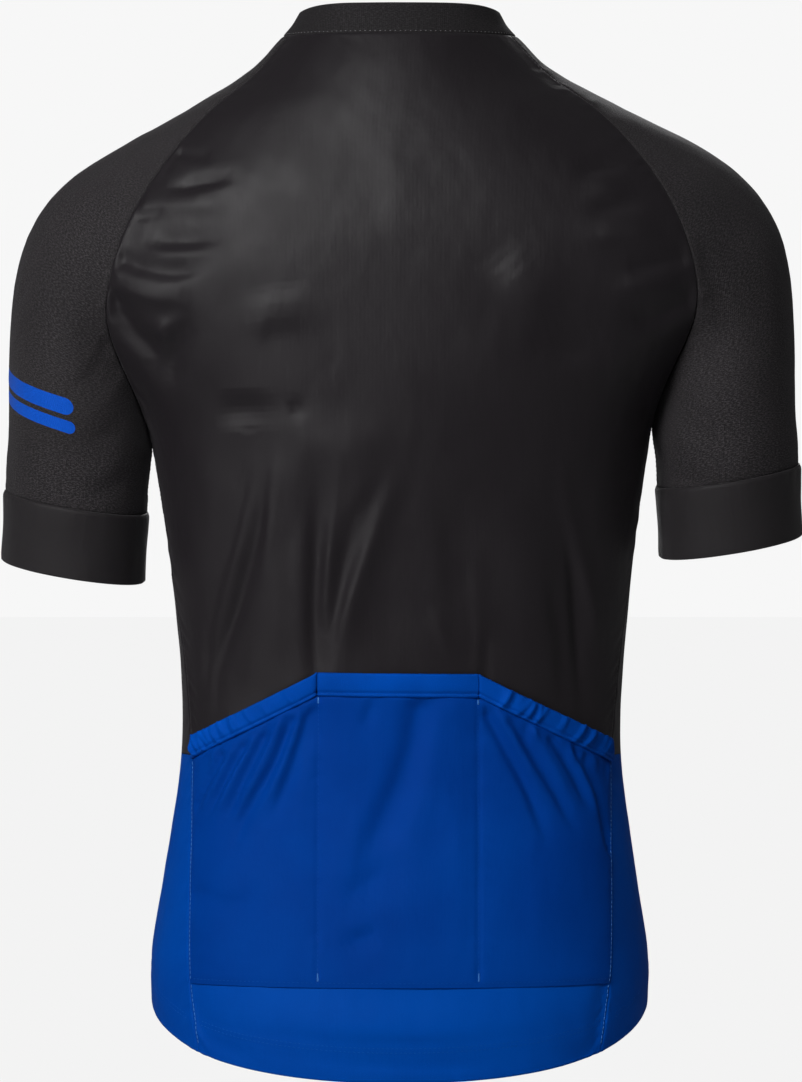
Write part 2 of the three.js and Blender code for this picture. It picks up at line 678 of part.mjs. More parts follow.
// The x of the side seam on the back, at the height z.
function sideSeamX(which, z) {
  let h = z;
  for (let i = 0; i < CORRECTIONS; i += 1) h += z - bodyPoint(which, BACK, h, sideSeam(h)).z;
  return bodyPoint(which, BACK, h, sideSeam(h)).x;
}

// How far the pocket stands off the back at a share f across one compartment, down at t.
// It is fullest at its top and flat at the bottom seam.
const POCKET_THINS = 0.55;
function pocketOff(f, t) {
  const round = 1 - (2 * f - 1) ** 4;
  return POCKET_OFF + POCKET_BULGE * round * (1 - POCKET_THINS * t) * (1 - t ** 6);
}

// The pocket is one panel. Its rows of points run from side seam to side seam, from under
// the bands down to the bottom seam.
function makePocket() {
  const places = [];
  for (let k = 0; k < 3; k += 1) {
    const [from, to] = [POCKET_TOP[k], POCKET_TOP[k + 1]];
    const last = k === 2 ? from.columns : from.columns - 1;
    for (let i = 0; i <= last; i += 1) {
      const f = i / from.columns;
      places.push({ f, x: lerp(from.x, to.x, f), top: lerp(from.z, to.z, f) - BAND_HEIGHT });
    }
  }
  const grid = [];
  for (let j = 0; j <= POCKET_ROWS; j += 1) {
    const t = j / POCKET_ROWS;
    const row = places.map(({ x, top }) => {
      const z = lerp(top, POCKET_BOTTOM, t);
      const [corner, inner] = x < 0 ? [POCKET_TOP[3], POCKET_TOP[2]] : POCKET_TOP;
      const which = x < 0 ? RIGHT : LEFT;
      const seam = sideSeamX(which, z) - sideSeamX(which, corner.z - BAND_HEIGHT);
      const beyond = clamp((x - inner.x) / (corner.x - inner.x), 0, 1);
      return onBack(x + beyond * seam * t, z);
    });
    grid.push(row);
  }
  const relief = (p, j, i) => {
    const off = pocketOff(places[i].f, j / POCKET_ROWS);
    return CLOTH + off + foldHeight(POCKET_FOLDS, p.x, p.z);
  };
  const gaps = { top: SEAM_GAP / 2, bottom: 0, start: 0, end: 0 };
  add("pocket", panelGeometry(grid, bodyAxis, { relief, gaps }), blueCloth);
}

// The folded bands along the top. The side ones are drawn up into gathers.
const BAND_ROWS = 2;
const GATHERS_FADE = 0.3;
function makeBand(k, name) {
  const [from, to] = [POCKET_TOP[k], POCKET_TOP[k + 1]];
  const count = from.gathers ? from.gathers * POINTS_PER_GATHER : from.columns;
  const grid = [];
  for (let j = 0; j <= BAND_ROWS; j += 1) {
    const row = [];
    for (let i = 0; i <= count; i += 1) {
      const f = i / count;
      row.push(onBack(lerp(from.x, to.x, f), lerp(from.z, to.z, f) - (BAND_HEIGHT * j) / BAND_ROWS));
    }
    grid.push(row);
  }
  const relief = (p, j, i) => {
    const f = i / count;
    const wave = from.gathers ? (1 - Math.cos((2 * Math.PI * i) / POINTS_PER_GATHER)) / 2 : 0;
    const puff = BAND_PUFF * Math.sin((Math.PI * j) / BAND_ROWS);
    const gather = GATHER_HEIGHT * wave * (1 - GATHERS_FADE * (j / BAND_ROWS));
    return DOUBLE_CLOTH + pocketOff(f, 0) + puff + gather;
  };
  const gaps = { bottom: SEAM_GAP / 2 };
  add(name, panelGeometry(grid, bodyAxis, { thickness: DOUBLE_CLOTH, relief, gaps }), blueCloth);
}

// One side of the zip's line, from the collar's top down to the hem. Each place has the
// edge of the cloth and the next point on it, the direction out of the garment, how thick
// the cloth is, and how far the tape is from the middle: the two tapes part where the
// slider's post stands between them.
const SPLIT_ENDS = 0.45;
const TEETH_MEET = 0.7;
function zipPlaces(which) {
  const [top, middle] = COLLAR_SHARES.map((share) => {
    const row = collarRow(share);
    return which > 0 ? row.slice(0, 2) : row.slice(-2).reverse();
  });
  const between = (t) => top.map((p, k) => p.clone().lerp(middle[k], t));
  const places = [
    { pair: top, cloth: DOUBLE_CLOTH, apart: SPLIT_HALF },
    { pair: between(SPLIT_ENDS), cloth: DOUBLE_CLOTH, apart: SPLIT_HALF },
    { pair: between(TEETH_MEET), cloth: DOUBLE_CLOTH, apart: SEAM_GAP / 2 },
    { pair: middle, cloth: DOUBLE_CLOTH, apart: SEAM_GAP / 2 },
  ];
  bodyStations.forEach((h, j) => {
    const pair = frontRow(which, h, FRONT_COLUMNS).slice(0, 2);
    const thick = j === 0 ? DOUBLE_CLOTH : CLOTH;
    places.push({ pair, cloth: thick, apart: SEAM_GAP / 2, middle: lean.sway(h) });
  });
  places.forEach((place, j) => {
    const before = places[Math.max(j - 1, 0)].pair[0];
    const after = places[Math.min(j + 1, places.length - 1)].pair[0];
    const along = after.clone().sub(before).setX(0).normalize();
    place.out = new THREE.Vector3(0, along.z, -along.y);
    place.edge = place.pair[0];
    place.slope = place.pair[1].clone().sub(place.edge);
    place.slope.divideScalar(Math.abs(place.slope.x));
    place.middle ??= lean.sway(NECK);
  });
  return places;
}

// One side of the zip: a tape behind the front's edge, with its row of teeth.
const TEETH_CORNER = 1;
const TEETH_CHAMFER = 0.4;
function makeZipSide(which, name) {
  const rings = zipPlaces(which).map(({ edge, slope, out, middle, cloth: thick, apart }) => {
    const face = -(thick + SEAM_GAP);
    const teeth = Math.min(apart + TEETH_HALF - SEAM_GAP / 2, TEETH_REACH);
    const section = [
      [TAPE_HALF, face],
      [teeth, face],
      [teeth - TEETH_CHAMFER, face + TEETH_HEIGHT],
      [apart, face + TEETH_HEIGHT],
      [apart, face - TAPE],
      [TAPE_HALF, face - TAPE],
    ];
    return section.map(([x, n]) => {
      const beyond = which * (middle - edge.x) + x;
      const p = edge.clone().addScaledVector(slope, Math.max(beyond, 0));
      return p.setX(middle + which * x).addScaledVector(out, n);
    });
  });
  add(name, tubeGeometry(rings, TEETH_CORNER), blackCloth);
}

// Several closed geometries joined into one.
function joined(geometries) {
  let whole = null;
  for (const geometry of geometries) {
    geometry.deleteAttribute("normal");
    geometry.deleteAttribute("uv");
    const merged = mergeVertices(geometry, 1e-4);
    const mesh = new wasm.Mesh({
      numProp: 3,
      vertProperties: new Float32Array(merged.attributes.position.array),
      triVerts: new Uint32Array(merged.index.array),
    });
    const solid = new wasm.Manifold(mesh);
    whole = whole ? whole.add(solid) : solid;
  }
  const { vertProperties, triVerts } = whole.getMesh();
  return closedGeometry(Array.from(vertProperties), Array.from(triVerts));
}

// Blocks that are joined run into each other by this much.
const JOIN = 0.1;

// A box given by its limits across (x), along the zip (s) and outwards (n).
function block(x, s, n) {
  const box = new THREE.BoxGeometry(x[1] - x[0], n[1] - n[0], s[1] - s[0]);
  return box.translate((x[0] + x[1]) / 2, (n[0] + n[1]) / 2, (s[0] + s[1]) / 2);
}

// A group whose axes are x, outwards and down along the zip, at a place of the zip's line.
function zipFrame(from, to) {
  const down = to.clone().sub(from).normalize();
  const out = new THREE.Vector3(0, down.z, -down.y);
  const frame = new THREE.Group();
  const x = new THREE.Vector3().crossVectors(out, down);
  frame.applyMatrix4(new THREE.Matrix4().makeBasis(x, out, down).setPosition(from));
  group.add(frame);
  return frame;
}

// The slider holds the top of the closed zip: a plate on each side of the teeth, joined by
// a post between the parted tapes, and a bridge on the front plate for the pull.
function makeSlider(frame) {
  const { top, bottom, half, plate, clear } = SLIDER;
  const back = -(DOUBLE_CLOTH + SEAM_GAP) - TAPE - clear;
  const plateFront = clear;
  const bridgeTop = plateFront + plate + BRIDGE.rise;
  const across = [-half, half];
  const thin = [-BRIDGE.half, BRIDGE.half];
  const post = [-SLIDER_POST.half, SLIDER_POST.half];
  const pieces = [
    block(across, [top, bottom], [plateFront, plateFront + plate]),
    block(across, [top, bottom], [back - plate, back]),
    block(post, [SLIDER_POST.top, SLIDER_POST.bottom], [back - plate / 2, plateFront + plate / 2]),
    block(thin, [BRIDGE.top, BRIDGE.top + BRIDGE.foot], [plateFront + plate / 2, bridgeTop]),
    block(thin, [BRIDGE.bottom - BRIDGE.foot, BRIDGE.bottom], [plateFront + plate / 2, bridgeTop]),
    block(thin, [BRIDGE.top, BRIDGE.bottom], [bridgeTop - JOIN, bridgeTop + BRIDGE.beam]),
  ];
  add("zip_slider", joined(pieces), darkMetal, frame);
}

// The pull hangs from the bridge by its crossbar, the axis that it turns about.
function makePull(frame) {
  const { s, n, bar, sides, short, rail, inner, above, tab, half, narrow, window, sill } = PULL;
  const hinge = new THREE.Group();
  hinge.position.set(0, n, s);
  hinge.rotation.x = THREE.MathUtils.degToRad(-PULL_TILT);
  frame.add(hinge);
  const crossbar = new THREE.CylinderGeometry(bar / 2, bar / 2, 2 * (inner + rail - short), sides);
  crossbar.rotateZ(Math.PI / 2);
  const flat = [-bar / 2, bar / 2];
  const pieces = [
    crossbar,
    block([-inner - rail, -inner], [-above, window + JOIN], flat),
    block([inner, inner + rail], [-above, window + JOIN], flat),
    block([-half, half], [window, window + sill], flat),
    block([-half + narrow, half - narrow], [window + sill - JOIN, tab], flat),
  ];
  add("zip_pull", joined(pieces), darkMetal, hinge);
}

// The stop at the zip's lower end, in front of the teeth.
function makeZipBox(frame) {
  const { half, length, aboveHem, thick } = ZIP_BOX;
  const low = TEETH_HEIGHT - CLOTH;
  const box = block([-half, half], [-length, -aboveHem], [low, low + thick]);
  add("zip_box", box, darkMetal, frame);
}

makeBack();
makeFront(LEFT, "front_left");
makeFront(RIGHT, "front_right");
makeSleeve(LEFT, "sleeve_left");
makeSleeve(RIGHT, "sleeve_right");
makeCuff(LEFT, "cuff_left");
makeCuff(RIGHT, "cuff_right");
makeCollar();
makePocket();
makeBand(0, "pocket_band_left");
makeBand(1, "pocket_band_center");
makeBand(2, "pocket_band_right");
makeZipSide(LEFT, "zip_left");
makeZipSide(RIGHT, "zip_right");

// The middle of the zip at one of its places.
const zipMiddle = (place) => place.edge.clone().setX(place.middle);
const zip = zipPlaces(LEFT);
const sliderFrame = zipFrame(zipMiddle(zip[0]), zipMiddle(zip[3]));
makeSlider(sliderFrame);
makePull(sliderFrame);
const hemPlaces = zip.slice(-2).map(zipMiddle);
const boxFrame = zipFrame(hemPlaces[1], hemPlaces[1].clone().multiplyScalar(2).sub(hemPlaces[0]));
makeZipBox(boxFrame);

export default group;
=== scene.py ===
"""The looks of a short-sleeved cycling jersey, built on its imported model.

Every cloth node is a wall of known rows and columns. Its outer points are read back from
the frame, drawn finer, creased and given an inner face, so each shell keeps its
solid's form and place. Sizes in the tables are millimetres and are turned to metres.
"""

import math

import bmesh
import bpy
import numpy as np
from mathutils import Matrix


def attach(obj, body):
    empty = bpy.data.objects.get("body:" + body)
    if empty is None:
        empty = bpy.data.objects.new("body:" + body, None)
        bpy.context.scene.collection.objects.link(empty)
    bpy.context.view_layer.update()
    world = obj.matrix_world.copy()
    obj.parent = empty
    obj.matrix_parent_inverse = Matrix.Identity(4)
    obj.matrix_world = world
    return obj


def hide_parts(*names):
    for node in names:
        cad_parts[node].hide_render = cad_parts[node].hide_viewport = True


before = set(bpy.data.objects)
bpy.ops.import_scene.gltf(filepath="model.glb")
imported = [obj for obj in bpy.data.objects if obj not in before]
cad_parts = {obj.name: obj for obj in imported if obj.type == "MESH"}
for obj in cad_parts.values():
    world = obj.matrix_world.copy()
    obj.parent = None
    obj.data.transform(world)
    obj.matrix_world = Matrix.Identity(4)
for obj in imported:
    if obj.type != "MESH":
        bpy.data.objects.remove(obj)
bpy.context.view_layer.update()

MM = 0.001
BODY = "garment"

# Cloth: its thickness in one layer and folded, its points' spacing, and its seams
CLOTH = 0.9
FOLDED = 1.5
GRID = 2.25
FINE_GRID = 1.1
SEAM_GAP = 0.36
SEAM_DEPTH = 0.55
SEAM_WIDTH = 1.9
RIM_ROUND = 0.5
EASE = 20

# How far the pocket's edges are drawn in and the back under it, and how far a sleeve runs on
# inside its cuff, down and outwards
TUCK = 0.7
UNDER_POCKET = 3.0
UNDER_REACH = 2.4
UNDER_OUT = 0.5

# Gathers of the pocket's outer bands
GATHERS = 26
BAND_GATHER = 1.35
BAND_EASE = 12

# Heights on the body
PRINT_BREAK = -472.0
HEM_BAND = 22.0

# The pocket's two rows of stitching that divide it, and the rows of the hem
DIVISIONS = (54.0, -49.0)
HEM_ROWS = (22.0, 19.2)

# The camera stands straight behind, at the photograph's scale
PHOTO_HEIGHT = 1082
PIXEL = 0.66
SENSOR = 36.0
DISTANCE = 3450.0
VIEW_MIDDLE = (0.7, -332.0)

FLOOR = -1180.0
FLOOR_RADIUS = 55
WORLD_LIGHT = 0.09
WORLD_SEEN = 0.93

# Creases of the back, seen from behind: points in x and z, width, and height out of the
# cloth (negative is a trough). They are uneven, as the cloth hangs.
BACK_CREASES = [
    ([(144, -82), (120, -85)], 5, -1.9),
    ([(156, -106), (130, -103), (104, -98)], 5, -3.7),
    ([(165, -117), (136, -115), (105, -117)], 9, 2.3),
    ([(168, -123), (152, -121)], 3.2, -1.2),
    ([(172, -138), (139, -139), (110, -138)], 6, -2.8),
    ([(175, -147), (142, -150), (112, -147)], 6, 1.9),
    ([(181, -151), (162, -158), (139, -160), (120, -153)], 6, -3.3),
    ([(184, -168), (162, -174), (129, -178)], 9, 2.8),
    ([(187, -180), (174, -200), (163, -212), (158, -232)], 9, -5.6),
    ([(127, -186), (141, -200), (150, -217), (152, -240)], 9, -4.6),
    ([(148, -188), (160, -203)], 7, 2.0),
    ([(-106, -96), (-127, -93), (-148, -90)], 6, -1.9),
    ([(-117, -107), (-153, -108)], 8, 1.6),
    ([(-116, -123), (-137, -119), (-160, -116)], 6, -2.0),
    ([(-110, -139), (-143, -136), (-174, -134)], 9, 1.9),
    ([(-135, -162), (-159, -157), (-181, -150)], 6, -2.3),
    ([(-132, -173), (-179, -165)], 8, 1.9),
    ([(-138, -187), (-162, -189), (-185, -178)], 9, -2.9),
    ([(-57, -146), (-79, -171), (-101, -192)], 16, 3.7),
    ([(-74, -200), (-108, -208), (-140, -206)], 17, -3.6),
    ([(90, -168), (85, -204)], 18, 2.6),
    ([(108, -236), (104, -262)], 16, -3.6),
    ([(70, -238), (68, -258)], 5, -1.4),
    ([(4, -62), (3, -146)], 16, 1.4),
    ([(55, -284), (56, -335), (58, -370), (58, -450)], 4.2, -3.7),
    ([(63, -292), (67, -344), (66, -446)], 8, 1.9),
    ([(38, -260), (44, -306), (49, -351), (51, -446)], 4, 2.3),
    ([(0, -272), (19, -325), (34, -370), (50, -440)], 6, 3.4),
    ([(9, -284), (29, -318), (42, -363), (54, -436)], 7, -3.1),
    ([(92, -264), (100, -309), (109, -344), (124, -389), (131, -428)], 5, 2.3),
    ([(86, -280), (94, -325), (105, -367), (120, -415), (124, -455)], 5, -3.3),
    ([(80, -262), (86, -325), (90, -372)], 5, 1.7),
    ([(113, -344), (126, -395), (131, -448)], 5, -1.9),
    ([(-98, -274), (-111, -335), (-122, -370), (-131, -424)], 5, 2.2),
    ([(-105, -308), (-111, -370), (-114, -412), (-118, -456)], 5, -3.3),
    ([(-92, -342), (-101, -395), (-105, -446)], 6, -1.7),
    ([(-28, -290), (-32, -344), (-36, -398)], 12, -1.9),
    ([(-43, -318), (-47, -370), (-52, -446)], 6, 1.4),
    ([(-55, -380), (-51, -440)], 4, -1.9),
    ([(-18, -368), (-31, -412)], 5, 1.2),
    ([(150, -640), (120, -655), (88, -664)], 9, -1.6),
    ([(-96, -668), (-126, -655), (-150, -636)], 9, -1.4),
    ([(116, -636), (40, -644), (-20, -645), (-108, -638)], 12, 2.0),
    ([(104, -659), (30, -666), (-30, -667), (-100, -660)], 6, -1.1),
    ([(28, -650), (-4, -653), (-40, -651)], 2.6, -0.5),
]

# Creases of each front, seen from the front, as they are on the wearer's left
FRONT_CREASES = [
    ([(150, -104), (118, -112), (84, -108)], 7, -2.5),
    ([(158, -122), (122, -130), (78, -128)], 8, 2.2),
    ([(164, -140), (128, -150), (88, -151)], 7, -2.9),
    ([(170, -158), (136, -170), (98, -176)], 8, 2.4),
    ([(172, -178), (150, -196), (122, -210)], 8, -3.6),
    ([(172, -204), (156, -226), (146, -256)], 7, -3.1),
    ([(120, -236), (104, -300), (92, -372)], 9, -2.9),
    ([(98, -248), (84, -318), (74, -396)], 9, 2.2),
    ([(140, -300), (130, -372), (126, -440)], 8, -2.7),
    ([(66, -300), (58, -380), (52, -470)], 11, -2.0),
    ([(112, -396), (104, -468), (96, -540)], 9, 2.2),
    ([(134, -460), (124, -530), (118, -590)], 9, -2.4),
    ([(40, -420), (34, -500), (30, -580)], 10, 1.7),
    ([(26, -120), (30, -190), (26, -262)], 9, 1.7),
    ([(52, -96), (60, -160), (56, -230)], 13, 1.9),
    ([(76, -486), (70, -560), (66, -612)], 9, -1.7),
]

# Creases of each sleeve: seen from behind, then from the front, as on the wearer's left
SLEEVE_BACK_CREASES = [
    ([(196, -150), (206, -186), (204, -222)], 8, -1.4),
    ([(192, -206), (204, -226), (222, -236)], 6, -1.6),
    ([(184, -226), (198, -246), (220, -254)], 6, 1.2),
    ([(178, -244), (194, -264), (218, -268)], 6, -1.5),
    ([(176, -266), (194, -284), (220, -290)], 6, 1.0),
    ([(174, -284), (190, -296), (212, -302)], 5, -0.9),
    ([(226, -120), (238, -160), (240, -205)], 12, 0.9),
    ([(196, -118), (212, -134), (232, -140)], 8, -0.9),
    ([(176, -96), (196, -108), (216, -110)], 8, 0.8),
]
SLEEVE_FRONT_CREASES = [
    ([(182, -150), (192, -178), (190, -208)], 8, -1.3),
    ([(184, -204), (200, -222), (224, -228)], 7, -1.6),
    ([(180, -224), (198, -242), (226, -248)], 7, 1.2),
    ([(178, -248), (196, -262), (222, -266)], 6, -1.4),
    ([(176, -270), (196, -284), (224, -286)], 6, 1.0),
    ([(214, -118), (228, -156), (228, -196)], 12, 0.9),
    ([(176, -112), (196, -130), (220, -136)], 8, -0.9),
]

# Creases of the pocket's panel, seen from behind: the drag below the gathered bands and
# the long soft fold in the middle.
POCKET_CREASES = [
    ([(-12, -434), (-1, -479), (17, -522), (32, -566)], 12.0, -4.2),
    ([(-24, -440), (-13, -492), (6, -545)], 11.0, 2.6),
    ([(-6, -533), (22, -551), (43, -573)], 12.0, -2.6),
    ([(9, -580), (28, -586), (44, -594)], 8.0, -2.0),
    ([(20, -434), (27, -454)], 4.5, -1.8),
    ([(61, -446), (70, -474), (86, -518)], 4.7, -3.5),
    ([(66, -446), (78, -474), (95, -514)], 3.8, 2.4),
    ([(73, -449), (84, -474), (103, -512), (112, -538)], 4.0, -3.6),
    ([(82, -453), (94, -480), (112, -516)], 3.6, 2.4),
    ([(91, -459), (102, -482), (120, -520)], 3.6, -3.2),
    ([(98, -462), (109, -484), (126, -518)], 3.2, 2.1),
    ([(105, -465), (115, -486), (131, -520)], 3.2, -3.0),
    ([(112, -469), (121, -486), (133, -508)], 2.9, 1.8),
    ([(118, -472), (126, -486), (134, -502)], 2.9, -2.2),
    ([(86, -548), (108, -566), (132, -560)], 9.0, -1.4),
    ([(-55, -446), (-67, -466), (-82, -498), (-95, -534)], 4.7, -3.8),
    ([(-63, -446), (-77, -472), (-93, -506)], 4.0, 2.5),
    ([(-71, -450), (-84, -470), (-100, -498), (-115, -526)], 4.1, -3.2),
    ([(-84, -455), (-100, -482), (-115, -510)], 4.0, 2.2),
    ([(-98, -461), (-110, -484), (-122, -512)], 3.6, -2.5),
    ([(-112, -467), (-126, -496), (-135, -532)], 4.0, -2.8),
    ([(-104, -462), (-118, -488), (-130, -518)], 3.4, 1.9),
    ([(-20, -470), (-36, -520), (-44, -560)], 15.0, 1.6),
    ([(-92, -540), (-88, -570), (-94, -604)], 14.0, 1.2),
]

# Colours, as linear red, green and blue
BLACK = (0.0125, 0.0102, 0.0125)
HEATHER_DARK = (0.0135, 0.0122, 0.0132)
HEATHER_LIGHT = (0.084, 0.076, 0.082)
COLLAR_LIGHT = (0.046, 0.043, 0.046)
CUFF_BLACK = (0.0155, 0.0135, 0.015)
BLUE = (0.0, 0.048, 0.31)
BLUE_DEEP = (0.0, 0.036, 0.255)
# The printed blue below the break is the pocket's blue made lighter: painted light, for the light that
# the tilted tail catches from above.
PRINT_BLUE_LIT = (0.0, 0.067, 0.4)
PRINT_BLUE_DEEP_LIT = (0.0, 0.053, 0.34)
# The bands' blue is the pocket's blue made lighter: painted light, for the light from above that the
# bands' tops catch.
BAND_BLUE_LIT = (0.0, 0.072, 0.45)
BAR_BLUE = (0.0002, 0.088, 0.58)
BLACK_THREAD = (0.032, 0.03, 0.032)
COLLAR_THREAD = (0.26, 0.26, 0.27)
BLUE_THREAD = (0.0, 0.075, 0.42)
PALE_THREAD = (0.08, 0.27, 0.68)
TAPE_BLACK = (0.012, 0.012, 0.013)
TEETH_BLACK = (0.02, 0.02, 0.022)
METAL = (0.16, 0.16, 0.17)

# Sleeve bars on the wearer's left sleeve, as seen from behind: the middle of the rounded
# inner end and half the bar's height. Both run the same way, through the two points.
BARS = [
    {"inner": (219, -243.5), "half": 5.6},
    {"inner": (217, -258.5), "half": 4.1},
]
BAR_WAY = [(218, -251), (255, -235)]
BAR_LENGTH = 74.0

# Stitches
STITCH = {"length": 2.0, "gap": 1.0, "radius": 0.17}
STITCH_SIDES = 5

# Zip
TAPE_HALF = 10.5
TAPE_BEHIND = 1.75
TOOTH = {"pitch": 1.6, "long": 0.85, "reach": 2.5, "thick": 1.5}


def smoothstep(low, high, value):
    t = np.clip((value - low) / (high - low), 0, 1)
    return t * t * (3 - 2 * t)


def unit(vectors):
    return vectors / np.maximum(np.linalg.norm(vectors, axis=-1, keepdims=True), 1e-12)


# Reading a cloth wall back from the frame


def outer_faces(mesh):
    """The faces of the wall's outer side: those reached from one of them without a sharp turn."""
    middle = np.mean([v.co for v in mesh.verts], axis=0)
    big = sorted(mesh.faces, key=lambda f: -f.calc_area())[: len(mesh.faces) // 4]
    away = [f for f in big if f.normal.dot(f.calc_center_median() - type(f.normal)(middle)) > 0]
    found = {away[0]}
    waiting = [away[0]]
    while waiting:
        face = waiting.pop()
        for edge in face.edges:
            for other in edge.link_faces:
                if other not in found and face.normal.dot(other.normal) > 0.5:
                    found.add(other)
                    waiting.append(other)
    return found


def turn_at(vertex, beside):
    """How sharply the border turns at one of its points, from 0 to 2."""
    before, after = beside[vertex]
    return 1 + (before.co - vertex.co).normalized().dot((after.co - vertex.co).normalized())


def edge_paths(faces):
    """The four sides of the outer face, each a list of points from corner to corner."""
    uses = {}
    for face in sorted(faces, key=lambda f: f.index):
        for edge in face.edges:
            uses[edge] = uses.get(edge, 0) + 1
    beside = {}
    for edge, count in uses.items():
        if count == 1:
            a, b = edge.verts
            beside.setdefault(a, []).append(b)
            beside.setdefault(b, []).append(a)
    ends = [v for v in beside if sum(f in faces for f in v.link_faces) <= 2]
    corners = sorted(ends, key=lambda v: -turn_at(v, beside))[:4]
    start = min(corners, key=lambda v: v.index)
    loop = [start, beside[start][0]]
    while loop[-1] is not start:
        ahead = [v for v in beside[loop[-1]] if v is not loop[-2]]
        loop.append(ahead[0])
    cuts = [k for k, v in enumerate(loop) if v in corners]
    return [loop[a : b + 1] for a, b in zip(cuts[:-1], cuts[1:])]


def steepness(path):
    co = np.array([v.co for v in path])
    steps = np.diff(co, axis=0)
    return np.abs(steps[:, 2]).sum() / np.linalg.norm(steps, axis=1).sum()


def next_row(row, first, faces, used):
    """The row below a row of points, walked triangle by triangle from its first point."""
    below = [first]
    for i in range(len(row) - 1):
        pivot = row[i]
        while True:
            pair = {pivot, below[-1]}
            free = [f for f in pivot.link_faces if f in faces and f not in used]
            face = next(f for f in free if pair <= set(f.verts))
            used.add(face)
            third = next(v for v in face.verts if v not in pair)
            if third is row[i + 1]:
                pivot = third
                continue
            below.append(third)
            if pivot is not row[i + 1]:
                pair = {pivot, row[i + 1], third}
                used.update(f for f in third.link_faces if f in faces and pair == set(f.verts))
            break
    return below


def wall_grid(name):
    """A cloth node's outer points as rows and columns, from its top edge down, in mm."""
    mesh = bmesh.new()
    mesh.from_mesh(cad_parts[name].data)
    bmesh.ops.remove_doubles(mesh, verts=mesh.verts, dist=2e-5)
    mesh.normal_update()
    mesh.verts.index_update()
    mesh.faces.index_update()
    faces = outer_faces(mesh)
    sides = edge_paths(faces)
    slopes = [steepness(side) for side in sides]
    across = (0, 2) if slopes[0] + slopes[2] < slopes[1] + slopes[3] else (1, 3)
    rows = sorted((sides[k] for k in across), key=lambda p: -np.mean([v.co.z for v in p]))
    top = rows[0]
    uprights = [
        p if p[0] is top[0] else p[::-1]
        for k, p in enumerate(sides)
        if k not in across and top[0] in p
    ]
    column = uprights[0]
    used = set()
    grid = [top]
    for first in column[1:]:
        grid.append(next_row(grid[-1], first, faces, used))
    points = np.array([[v.co for v in row] for row in grid]) / MM
    face = next(iter(f for f in grid[0][0].link_faces if f in faces))
    turn = np.cross(points[0, 1] - points[0, 0], points[1, 0] - points[0, 0])
    if np.dot(turn, np.array(face.normal)) < 0:
        points = points[:, ::-1]
    mesh.free()
    return points


# Finer grids


def spline(values, knots, at):
    """A smooth curve through values along the first axis, read at new places."""
    steps = np.diff(knots)
    shape = (-1,) + (1,) * (values.ndim - 1)
    rise = np.diff(values, axis=0) / steps.reshape(shape)
    slope = np.empty_like(values)
    slope[0] = rise[0]
    slope[-1] = rise[-1]
    before = steps[:-1].reshape(shape)
    after = steps[1:].reshape(shape)
    slope[1:-1] = (rise[:-1] * after + rise[1:] * before) / (before + after)
    k = np.clip(np.searchsorted(knots, at, side="right") - 1, 0, len(steps) - 1)
    t = ((at - knots[k]) / steps[k]).reshape(shape)
    width = steps[k].reshape(shape)
    low = (1 + 2 * t) * (1 - t) ** 2 * values[k] + t * (1 - t) ** 2 * width * slope[k]
    high = t * t * (3 - 2 * t) * values[k + 1] + t * t * (t - 1) * width * slope[k + 1]
    return low + high


def lengths_along(points, axis):
    """Running length along one axis of a grid, as an average over the other."""
    steps = np.linalg.norm(np.diff(points, axis=axis), axis=-1).mean(axis=1 - axis)
    return np.concatenate([[0], np.cumsum(steps)])


EDGE_STEPS = (0.45, 1.0, 1.9)


def places(knots, spacing):
    """New places between the old ones, with a few close to each end for a rounded edge."""
    new = [knots[0]]
    for a, b in zip(knots[:-1], knots[1:]):
        count = max(1, round((b - a) / spacing))
        new.extend(a + (b - a) * (k + 1) / count for k in range(count))
    near = [knots[0] + e for e in EDGE_STEPS] + [knots[-1] - e for e in EDGE_STEPS]
    inside = [p for p in new if knots[0] + 2.4 < p < knots[-1] - 2.4]
    return np.array(sorted([knots[0], knots[-1], *near, *inside]))


def finer(grid, spacing, spacing_down=None):
    across = lengths_along(grid, 1)
    down = lengths_along(grid, 0)
    rows = spline(grid, down, places(down, spacing_down or spacing))
    columns = spline(rows.transpose(1, 0, 2), across, places(across, spacing))
    return columns.transpose(1, 0, 2)


def eased(grid, turns):
    """A grid with its small kinks blurred away, its edges left where they are."""
    grid = grid.copy()
    for _ in range(turns):
        grid[1:-1] = (grid[:-2] + 2 * grid[1:-1] + grid[2:]) / 4
        grid[:, 1:-1] = (grid[:, :-2] + 2 * grid[:, 1:-1] + grid[:, 2:]) / 4
    return grid


def normals_of(grid):
    across = np.gradient(grid, axis=1)
    down = np.gradient(grid, axis=0)
    return unit(np.cross(across, down))


def cloth_coordinates(grid):
    """Distance across from the middle column, and down from the top row, along the cloth."""
    across = np.linalg.norm(np.diff(grid, axis=1), axis=-1)
    u = np.concatenate([np.zeros((len(grid), 1)), np.cumsum(across, axis=1)], axis=1)
    u -= u[:, u.shape[1] // 2][:, None]
    down = np.linalg.norm(np.diff(grid, axis=0), axis=-1)
    v = np.concatenate([np.zeros((1, grid.shape[1])), np.cumsum(down, axis=0)], axis=0)
    return np.stack([u, -v], axis=-1)


def edge_distances(grid):
    """How far each point is from the start, end, top and bottom edges, along the cloth."""
    across = np.linalg.norm(np.diff(grid, axis=1), axis=-1)
    u = np.concatenate([np.zeros((len(grid), 1)), np.cumsum(across, axis=1)], axis=1)
    down = np.linalg.norm(np.diff(grid, axis=0), axis=-1)
    v = np.concatenate([np.zeros((1, grid.shape[1])), np.cumsum(down, axis=0)], axis=0)
    return {"start": u, "end": u[:, -1:] - u, "top": v, "bottom": v[-1:] - v}


# Creases

FROM_SEAM = 9.0


def on_cloth(grid, normals, x, z, facing):
    """The point of a grid that shows at x and z when it is looked at against facing."""
    away = (grid[..., 0] - x) ** 2 + (grid[..., 2] - z) ** 2
    hidden = normals @ np.array(facing) < 0.1
    k = np.argmin(away + hidden * 1e6)
    return np.unravel_index(k, away.shape)


